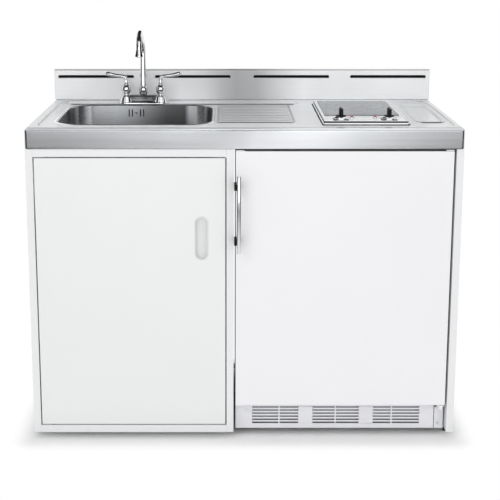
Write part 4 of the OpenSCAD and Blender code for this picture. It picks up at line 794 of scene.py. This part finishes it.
class KITCHENETTE_OT_tap(bpy.types.Operator):
    """Make the mixer tap's bridge, bells, levers and swan neck"""
    bl_idname = "kitchenette.tap"
    bl_label = "Mixer tap"

    def execute(self, context):
        tap = context.scene.kitchenette_tap
        chrome = plated("tap_chrome", hue("chrome"), 0.05)
        deck = span("faucet_base")
        nut = span("spout_nut")
        x, y = (nut[0] + nut[1]) / 2, (nut[2] + nut[3]) / 2
        floor = field_height() + context.scene.kitchenette_top.ledge_rise
        top = nut[4]

        bm = bmesh.new()
        capped(bm, (x - TAP_REACH, x + TAP_REACH, y - 15, y + 15), 7, (
            above(floor, (3.0, 4), (1.0, 6), (0, 10))
            + above(top, (0, -5), (-1.2, -2), (-3.6, -0.4), (-6, 0))), 5)
        # The bridge's chrome is darkened to a fifth, a painted dark reflection.
        piece("tap_bridge", bm, "unit",
              plated("bridge_chrome", tone(hue("chrome"), 0.2), 0.12), (), 50)
        bm = bmesh.new()
        capped(bm, deck[:4], 25.9, above(floor, (0, 0), (0, 2.5), (-0.8, 3.8), (-2.4, 4.4)), 12)
        b, w = tap.bell, tap.waist
        for side in (-1, 1):
            turned(bm, x + side * TAP_REACH, y, above(
                floor, (b, 0), (b, 2), (b - 0.9, 5), (b * 0.9, 10), (b * 0.82, 16), (b * 0.77, 20),
                (b * 0.74, 22), (b * 0.68, 23.4), (w + 3, 24.4), (w + 1, 26), (w, 29), (w + 0.4, 32),
                (w + 2.4, 34.4), (w + 4.2, 37.5), (w + 5.3, 42), (w + 5.4, 46), (w + 4.4, 50.5),
                (w + 2, 54.6), (w - 1.6, 57.8), (0, 58.5)))
        turned(bm, x, y, above(
            top, (12.4, -2), (12.2, 3), (12.8, 6), (14.2, 10), (15.2, 15), (15.2, 19), (14.2, 23.5),
            (12.2, 27), (tap.foot - 0.6, 29.4), (tap.foot - 1.2, 30)))
        piece("tap_deck", bm, "unit", chrome, ("faucet_base", "spout_nut"), 50)

        for name, side in (("hot_lever", -1), ("cold_lever", 1)):
            hub = x + side * TAP_REACH
            z = floor + 58.6
            bm = bmesh.new()
            turned(bm, hub, y, above(
                z, (0, 0), (8.6, 0), (9.0, 0.8), (8.8, 2.4), (7.6, 4), (6.6, 6.5), (6.2, 10),
                (6.4, 17)), 40)
            out = side * tap.lever / 60
            path, radii = smooth_path([(hub + out * far, y, z + rise, radius) for far, rise, radius in (
                (0, 14, 6.2), (0.3, 18, 6.2), (2.6, 23, 6.3), (8, 26.4, 6.2), (17, 28, 5.9),
                (29, 29.2, 6.0), (41, 31.2, 6.6), (51, 33.2, 7.4), (58.5, 34.8, 7.5),
                (63.5, 35.8, 6.0), (66.5, 36.3, 2.6))])
            swept(bm, path, radii, 24, 0.86, (0, 1, 0))
            piece(name + "_swept", bm, name, chrome, (name,), 50)

        # The neck rises to its knee, leans forward, and turns down over the crown.
        bend, tilt, knee, crown = 45.0, math.radians(68), 1071.47, 1144.75
        tip = span("aerator")
        front = (tip[2] + tip[3]) / 2
        path = [(x, y, top + 14), (x, y, top + 40), (x, y, top + 80), (x, y, knee - 10)]
        for i in range(13):
            a = tilt * i / 12
            path.append((x, y - bend * (1 - math.cos(a)), knee + bend * math.sin(a)))
        turn_y, turn_z = front + bend, crown - bend
        start = Vector(path[-1])
        end = Vector((x, turn_y + bend * math.cos(tilt), turn_z + bend * math.sin(tilt)))
        path += [tuple(start.lerp(end, i / 6)) for i in range(1, 6)]
        for i in range(21):
            a = tilt + (math.pi - tilt) * i / 20
            path.append((x, turn_y + bend * math.cos(a), turn_z + bend * math.sin(a)))
        path += [(x, front, turn_z - 6), (x, front, tip[5] - 4)]
        thinner = (tap.neck + 0.6 - tap.foot) / (knee - path[0][2])
        radii = [tap.foot + thinner * (height - path[0][2]) for _, _, height in path[:4]]
        radii += [tap.neck + 0.5 * (1 - i / (len(path) - 5)) for i in range(len(path) - 4)]
        bm = bmesh.new()
        swept(bm, path, radii)
        piece("spout_swan_neck", bm, "spout", chrome, ("spout",), 50)

        bm = bmesh.new()
        low, high = tip[4], tip[5]
        turned(bm, x, front, (
            above(high, (tap.neck + 0.1, 5), (tap.neck + 1.0, 3.4), (tap.neck + 1.3, 1), (9.8, -3),
                  (10.7, -8), (12.0, -13), (12.4, -15.5))
            + above(low, (12.4, 1.2), (11.9, 0.2), (11.0, 0), (10.2, 0.3), (10.0, 2.2), (0, 2.2))))
        piece("aerator_bell", bm, "spout", chrome, ("aerator",), 50)
        paint("valve_stems", plated("stem_brass", shade(206, 172, 98), 0.2))
        return {"FINISHED"}


class KITCHENETTE_OT_hob(bpy.types.Operator):
    """Make the hob's knobs and bezels and finish its frame, glass and inside"""
    bl_idname = "kitchenette.hob"
    bl_label = "Hob"

    def execute(self, context):
        chrome = plated("hob_chrome", hue("chrome"), 0.07)
        black = moulded("knob_black", shade(15, 15, 16), 0.42, gloss=0.2)
        white = moulded("knob_pointer", shade(236, 236, 232), 0.4)
        shafts = []
        for name in ("left_knob", "right_knob"):
            x0, x1, y0, y1, z0, z1 = span(name)
            x, y = (x0 + x1) / 2, (y0 + y1) / 2
            shafts.append((x, y))
            bm = bmesh.new()
            turned(bm, x, y, above(
                z0, (0, -2.2), (20.4, -2.2), (21, 0.8), (20.6, 2.6), (18.8, 5.2), (16.2, 6.7),
                (14, 7.1), (0, 7.2)))
            piece(name + "_skirt", bm, name, chrome)
            bm = bmesh.new()
            turned(bm, x, y, above(
                z0, (14.6, 5), (14.6, 8.4), (13.6, 10), (11, 10.8), (0, 11)))
            capped(bm, (x - 5.5, x + 5.5, y - 18, y + 18), 5.2, (
                above(z0, (0.5, 6.4), (0, 9))
                + above(z1, (-0.3, -4), (-0.9, -1.6), (-2.0, -0.4), (-3.4, 0))), 6)
            piece(name + "_grip", bm, name, black, (name,))
            bm = bmesh.new()
            capped(bm, (x - 1.1, x + 1.1, y - 16.5, y - 3), 1.0,
                   above(z1, (0, -0.8), (0, -0.05), (-0.2, 0)), 4)
            piece(name + "_pointer", bm, name, white)
        pilots = span("pilot_lights")
        top = HOB[5]
        strip = top - STRIP_DROP
        middle = (pilots[2] + pilots[3]) / 2
        for number, x in enumerate((pilots[0] + 4.7, pilots[1] - 4.7)):
            bm = bmesh.new()
            turned(bm, x, middle, above(
                strip, (7.4, -0.2), (7.4, 0.9), (6.8, 2.0), (5.4, 2.3), (4.8, 1.5), (4.8, -0.2)), 32)
            piece("pilot_bezel_%d" % (number + 1), bm, "unit", chrome)
        paint("pilot_lights", moulded("pilot_red_lens", hue("pilot"), 0.12, 300))
        bm = bmesh.new()
        floor = field_height()
        _, rim = press(bm, HOB[:4], 7, (
            above(floor, (-4, 1.6), (0, 1.6), (0.2, 2.6), (-0.2, 4.6), (-1.2, 5.8), (-2.8, 6.2),
                  (-3.1, 5.6))
            + above(top, (-3.3, -1.6), (-3.9, -0.5), (-5, 0), (-6, -0.3), (-7, -1.6), (-7.8, -2.1),
                    (-9, -STRIP_DROP))), 6)
        holes = [press(bm, PLATE[:4], 4, [(0.3, strip), (0.3, PLATE[4])], 4)[0]]
        for x, y in shafts:
            holes.append(press(
                bm, (x - 5, x + 5, y - 5, y + 5), 4.9, [(0, strip), (0, top - 4)], 6)[0])
        fill(bm, rim, *holes)
        made = piece("hob_frame_pressed", bm, "unit",
                     brushed("hob_frame_steel", tone(hue("steel"), 1.15), 0.22, 0.6, metal=0.6),
                     ("hob_frame",), 60)
        # A band round the outer upright faces of the frame is painted black as the shadow of its groove.
        made.data.materials.append(moulded("hob_groove_black", shade(16, 16, 17), 0.7, gloss=0.1))
        for polygon in made.data.polygons:
            x, y, z = (value / MM for value in polygon.center)
            outer = y < PLATE[2] + 60 or x < HOB[0] + 6 or x > HOB[1] - 6
            if abs(polygon.normal.z) < 0.5 and floor + 5.7 < z < top - 1.2 and outer:
                polygon.material_index = 1
        # A real black rubber gasket, let out past the frame's foot so that it paints the dark shadow
        # line under its edge.
        bm = bmesh.new()
        press(bm, HOB[:4], 7, above(floor, (-5, 1.7), (1.6, 1.7), (2.2, 1.2), (2.4, 0)), 6)
        piece("hob_gasket", bm, "unit",
              moulded("gasket_black", shade(18, 18, 19), 0.7, gloss=0.2))
        heat = span("heating_elements")
        across = (PLATE[0] + PLATE[1]) / 2
        paint("hob_glass", rings_of_heat("hob_glass_grey", hue("glass"), (
            (across, heat[2] + 72, 72), (across, heat[3] - 90, 90))))
        soften("hob_glass", 0.8)
        paint("hob_pan", spangled("pan_zinc", shade(178, 182, 184)))
        paint("heating_elements", moulded("heater_grey", shade(92, 88, 86), 0.6, 500, 0.0001, 0.2))
        paint("energy_regulators", moulded("regulator_black", shade(40, 40, 42), 0.5))
        return {"FINISHED"}


class KITCHENETTE_OT_cabinet(bpy.types.Operator):
    """Finish the cabinet, its door and the side panels"""
    bl_idname = "kitchenette.cabinet"
    bl_label = "Cabinet"

    def execute(self, context):
        door = hue("door")
        paint("left_side partition top_rail back_panel cabinet_floor rear_rail right_panel",
              enamel("cabinet_white_board", hue("cabinet"), 0.4, 0.6, 0.1))
        paint("cabinet_door", enamel("cabinet_door_white", door, 0.33, 0.8, 0.3))
        # The finger pull is its own moulding in the door's white, darkened as painted shade of its
        # recess.
        paint("finger_pull", moulded("pull_white_moulded", tone(door, 0.9), 0.4))
        paint("cabinet_pivots", spangled("pivot_zinc", shade(182, 184, 186)))
        paint("door_fittings", moulded("fitting_nylon", shade(222, 220, 214), 0.45))
        paint("door_catch", moulded("catch_black", shade(44, 44, 46), 0.5))
        paint("levelling_feet", moulded("foot_rubber_black", shade(42, 42, 42), 0.7, 500))
        panel, leaf = span("partition"), span("cabinet_door")
        bm = bmesh.new()
        press(bm, (panel[0] - 7, panel[0], leaf[3] + 1.2, leaf[3] + 5), 1.2, (
            above(leaf[4], (-1, 2), (0, 3)) + above(leaf[5], (0, -3), (-1, -2))), 4)
        piece("door_buffer_strip", bm, "unit",
              moulded("buffer_grey", shade(236, 237, 238), 0.6, 400, 0.0001, 0.1))
        soften("left_side partition top_rail right_panel", 0.8)
        soften("cabinet_door", 1.6, 3)
        soften("finger_pull", 0.5)
        return {"FINISHED"}


class KITCHENETTE_OT_fridge(bpy.types.Operator):
    """Finish the refrigerator, its door, handle, grille and inside"""
    bl_idname = "kitchenette.fridge"
    bl_label = "Refrigerator"

    def execute(self, context):
        white = hue("fridge")
        paint("fridge_door_skin", enamel("fridge_door_white", white, 0.3, 1.0, 0.1))
        paint("fridge_shell fridge_hinges", enamel("fridge_shell_white", white, 0.36))
        paint("door_caps", moulded("cap_white", tone(white, 0.97), 0.42))
        paint("kick_grille", moulded("grille_white_moulded", shade(232, 232, 236), 0.42))
        bar = span("handle_bar")
        bm = bmesh.new()
        for end in press(bm, bar[:4], 5.4, (
                above(bar[4], (-1.2, 0), (-0.4, 0.3), (0, 1.2))
                + above(bar[5], (0, -1.2), (-0.4, -0.3), (-1.2, 0)))):
            bm.faces.new(end)
        piece("handle_bar_polished", bm, "fridge_door",
              plated("handle_polished", hue("chrome"), 0.08), ("handle_bar",), 50)
        left, right, near, far, foot, head = span("kick_grille")
        bm = bmesh.new()
        for middle in (128, 293, 457):
            x = left + middle
            press(bm, (x - 1.8, x + 1.8, near - 0.8, near + 2.6), 1.0,
                  above(foot, (-0.5, 12.5), (0, 13), (0, 69), (-0.5, 69.5)), 3)
        piece("grille_bars_upright", bm, "unit",
              moulded("grille_bar_white", shade(236, 236, 240), 0.42))
        # A black plate behind the grille's slots stands in for the shade inside the plinth.
        bm = bmesh.new()
        plate(bm, left + 6, right - 34, far + 1.5, foot + 9, head - 13)
        piece("grille_dust_felt", bm, "unit",
              moulded("felt_black", shade(20, 20, 22), 0.95, 1400, 0.0002, 0.2, 0.0))
        paint("handle_brackets", moulded("bracket_black", shade(13, 13, 14), 0.5, gloss=0.15))
        paint("screws", plated("screw_zinc", shade(206, 208, 210), 0.22))
        paint("fridge_liner fridge_door_liner",
              moulded("liner_white", shade(236, 238, 240), 0.3, 200, 0.00002, 0.01))
        paint("thermostat_box thermostat_dial",
              moulded("thermostat_white", shade(230, 232, 234), 0.36))
        finish = Finish("foam_cream_grey_backed")
        back = span("fridge_foam")[3]
        backed = finish.ease(finish.axis("Y"), (back - 1) * MM, (back - 0.5) * MM)
        cells = finish.noise(160)
        foam = finish.blend(cells, shade(222, 204, 152), shade(232, 214, 164))
        paint("fridge_foam fridge_door_foam", finish.done({
            "Base Color": finish.blend(backed, foam, shade(200, 202, 203)),
            "Roughness": 0.9 - backed * 0.3, "Normal": finish.bump(cells, 0.0003)}))
        paint("door_gasket", moulded("gasket_white", shade(214, 214, 212), 0.6))
        paint("glass_shelves", see_through("shelf_glass_green", shade(226, 240, 234)))
        paint("crisper door_bins", see_through("bin_clear", shade(236, 240, 244), 0.12, 1.46))
        paint("cold_plate", brushed("cold_plate_alloy", shade(196, 202, 206), 0.4))
        paint("compressor condenser", moulded("black_lacquer", shade(24, 24, 26), 0.28, 300))
        paint("fridge_base", spangled("base_zinc", shade(176, 180, 182)))
        soften("fridge_door_skin", 2.2, 3)
        soften("door_caps handle_brackets", 0.8)
        soften("kick_grille", 0.5, 1)
        return {"FINISHED"}


class KITCHENETTE_OT_stage(bpy.types.Operator):
    """Set up the floor, the soft lights and the camera"""
    bl_idname = "kitchenette.stage"
    bl_label = "Stage"

    def execute(self, context):
        stage = context.scene.kitchenette_stage
        scene = context.scene
        scene.view_settings.view_transform = "Standard"

        finish = Finish("floor_pale")

        def beyond(place, edge):
            past = place.work("ABSOLUTE", place) - edge
            return past.work("MAXIMUM", past, 0.0)

        side, deep = beyond(finish.axis("X"), 0.6), beyond(finish.axis("Y"), 0.3)
        far = finish.ease((side * side + deep * deep) ** 0.5, 0.0, 0.08)
        cloth = finish.node("ShaderNodeBsdfDiffuse", {}, {"Color": finish.blend(
            finish.noise(2, 2.0), shade(250, 250, 250), shade(254, 254, 254))})
        glow = finish.node("ShaderNodeEmission", {}, {"Color": (1, 1, 1, 1), "Strength": 1.0})
        finish.node("ShaderNodeOutputMaterial", {}, {"Surface": finish.node(
            "ShaderNodeMixShader", {}, {0: far, 1: cloth, 2: glow})})
        sheet("floor", [(x, y, -0.0005) for x, y in rounded(-9, 9, -9, 9, 3, 8)], finish)

        def card(name, centre, size, turn, rows):
            """A card that only reflections see; each row gives a height and the levels across it."""
            w, h = size[0] / 2, size[1] / 2
            finish = Finish(name)
            across = finish.node("ShaderNodeMapRange", {}, {
                "Value": finish.axis("X"), "From Min": -w, "From Max": w})
            light = None
            for height, levels in rows:
                ramp = finish.node("ShaderNodeValToRGB", {"stops": [
                    ((x + w) / (2 * w), (level, level, level * 1.01, 1)) for x, level in levels]},
                    {0: across})
                if light is None:
                    light = ramp
                else:
                    over = finish.ease(finish.axis("Y"), height - 0.02, height + 0.02)
                    light = finish.blend(over, light, ramp)
            glow = finish.node("ShaderNodeEmission", {}, {"Color": light, "Strength": 1.0})
            finish.node("ShaderNodeOutputMaterial", {}, {"Surface": glow})
            made = sheet(name, [(-w, -h, 0), (w, -h, 0), (w, h, 0), (-w, h, 0)], finish)
            made.location = centre
            made.rotation_euler = turn
            for ray in ("camera", "diffuse", "shadow", "transmission", "volume_scatter"):
                setattr(made, "visible_" + ray, False)

        half = math.pi / 2
        apron = ((-2.6, 0.3), (-1.28, 0.5), (-0.88, 0.56), (-0.54, 0.64), (-0.2, 0.76), (0.13, 0.98),
                 (0.4, 1.14), (0.81, 0.92), (1.14, 0.68), (1.45, 0.48), (2.6, 0.3))
        splash = ((-2.6, 2.0), (-1.2, 3.0), (-0.5, 3.4), (-0.28, 2.4), (-0.1, 0.3), (0.015, 0.0),
                  (0.17, 0.3), (0.36, 2.3), (0.5, 3.0), (0.9, 2.6), (1.3, 2.2), (2.6, 1.4))
        bowl = ((-2.6, 1.2), (-1.24, 0.9), (-1.2, 0.1), (-1.14, 0.1), (-1.1, 1.9), (-1.04, 1.9),
                (-1.0, 0.1), (-0.96, 1.9), (-0.84, 1.5), (-0.66, 0.8), (-0.54, 0.03), (-0.34, 0.03),
                (-0.3, 2.6), (-0.24, 2.6), (-0.2, 0.1), (0.0, 0.1), (0.17, 0.3), (0.36, 2.0),
                (0.9, 2.0), (2.6, 1.3))
        card("front_card", (0, -4.4, 1.6), (6, 3.2), (half, 0, 0), (
            (-1.6, apron), (-1.24, splash), (-0.1, bowl)))
        ground = ((-3.0, 0.03), (-1.0, 0.03), (-0.7, 0.95), (0.7, 0.95), (1.0, 0.03), (3.0, 0.03))
        card("floor_card", (0, -2.425, 0.004), (6, 3.95), (0, 0, 0), ((-1.975, ground),))
        card("top_card", (0, -1.8, 3.2), (3.2, 5.2), (0, 0, 0), (
            (-2.6, ((-1.5, 1.1), (-0.6, 1.0), (-0.42, 0.5), (-0.34, 0.03), (-0.2, 0.03), (-0.17, 1.6),
                    (-0.1, 1.6), (-0.05, 0.7), (0.8, 0.9), (1.5, 1.1))),))
        card("bowl_card", (-0.35, -1.0, 1.85), (0.9, 1.0), (half, 0, 0), (
            (-0.5, ((-0.37, 0.1), (-0.34, 1.5), (-0.31, 0.1), (-0.27, 0.1), (-0.24, 1.7), (-0.17, 1.4),
                    (-0.07, 0.8), (0.03, 0.03), (0.15, 0.03), (0.17, 7.0), (0.215, 7.0),
                    (0.23, 0.1), (0.26, 0.1), (0.29, 1.2))),))
        card("tap_card", (-0.316, 0.6, 1.62), (0.9, 2.0), (0, 0, 0), (
            (-1.0, ((-0.45, 0.02), (0.45, 0.02))),))
        for name, x in (("left_flag", -0.516), ("right_flag", -0.116)):
            card(name, (x, 0.09, 1.19), (0.28, 0.22), (0, half, 0), (
                (-0.11, ((-0.14, 0.01), (0.14, 0.01))),))
        for name, x in (("left_side_card", -2.4), ("right_side_card", 2.4)):
            card(name, (x, -1.55, 1.2), (2.4, 2.5), (0, half, 0), (
                (-1.25, ((-1.2, 0.02), (1.2, 0.02))),))
        for name, x in (("left_card", -2.1), ("right_card", 2.1)):
            card(name, (x, 1.7, 1.3), (1.1, 2.4), (half, 0, 0), (
                (-1.2, ((-0.5, 0.3), (-0.35, 0.03), (0.35, 0.03), (0.5, 0.3))),))

        def lamp(name, spot, aim, size, power):
            light = bpy.data.lights.new(name, "AREA")
            light.shape = "RECTANGLE"
            light.size, light.size_y = size
            light.energy = power
            made = bpy.data.objects.new(name, light)
            made.location = spot
            made.rotation_euler = (Vector(aim) - Vector(spot)).to_track_quat("-Z", "Y").to_euler()
            made.visible_glossy = False
            scene.collection.objects.link(made)

        lamp("key", (-2.2, -3.6, 3.0), (0, 0, 0.6), (2.4, 1.8), 38)
        lamp("fill", (2.8, -3.4, 1.2), (0.2, 0, 0.4), (2.0, 2.0), 18)
        lamp("top", (0.2, -0.4, 3.4), (0, 0, 0.9), (2.6, 1.6), 12)

        world = bpy.data.worlds.new("white_room")
        world.use_nodes = True
        scene.world = world
        room = Wiring(world.node_tree)
        seen, mirror, through = (
            room.node("ShaderNodeLightPath", output="Is %s Ray" % kind)
            for kind in ("Camera", "Glossy", "Transmission"))
        share = seen.work("MINIMUM", seen + mirror + through, 1.0)
        level = share + (1.0 - share) * stage.sky
        sky = room.node("ShaderNodeBackground", {}, {"Color": (1, 1, 1, 1), "Strength": level})
        room.node("ShaderNodeOutputWorld", {}, {"Surface": sky})

        eye = bpy.data.cameras.new("eye")
        eye.lens = stage.lens
        eye.sensor_width = 36
        eye.shift_x, eye.shift_y = 0.0455, -0.15
        camera = bpy.data.objects.new("eye", eye)
        camera.location = (-0.048, -3.43, 1.423)
        camera.rotation_euler = (half - stage.tilt, 0, 0)
        scene.collection.objects.link(camera)
        scene.camera = camera
        return {"FINISHED"}


class KITCHENETTE_PT_build(bpy.types.Panel):
    """Lists the steps that dress the unit"""
    bl_idname = "KITCHENETTE_PT_build"
    bl_label = "Kitchenette unit"
    bl_space_type = "VIEW_3D"
    bl_region_type = "UI"
    bl_category = "Kitchenette"

    def draw(self, context):
        for step in STEPS:
            self.layout.operator(step.bl_idname)
        for group in GROUPS:
            box = self.layout.box()
            held = getattr(context.scene, group)
            for name in held.__annotations__:
                box.prop(held, name)


GROUPS = {
    "kitchenette_top": KitchenetteTop,
    "kitchenette_tap": KitchenetteTap,
    "kitchenette_stage": KitchenetteStage,
    "kitchenette_colours": KitchenetteColours,
}
STEPS = (
    KITCHENETTE_OT_stage, KITCHENETTE_OT_top, KITCHENETTE_OT_bowl, KITCHENETTE_OT_tap,
    KITCHENETTE_OT_hob, KITCHENETTE_OT_cabinet, KITCHENETTE_OT_fridge,
)


def register():
    for kind in (*GROUPS.values(), *STEPS, KITCHENETTE_PT_build):
        bpy.utils.register_class(kind)
    for name, kind in GROUPS.items():
        setattr(bpy.types.Scene, name, bpy.props.PointerProperty(type=kind))


def unregister():
    for name in GROUPS:
        delattr(bpy.types.Scene, name)
    for kind in (KITCHENETTE_PT_build, *reversed(STEPS), *reversed(GROUPS.values())):
        bpy.utils.unregister_class(kind)


def main():
    """Registers the add-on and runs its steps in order."""
    register()
    bpy.ops.kitchenette.stage()
    bpy.ops.kitchenette.top()
    bpy.ops.kitchenette.bowl()
    bpy.ops.kitchenette.tap()
    bpy.ops.kitchenette.hob()
    bpy.ops.kitchenette.cabinet()
    bpy.ops.kitchenette.fridge()
    bpy.context.view_layer.update()


if __name__ == "__main__":
    main()
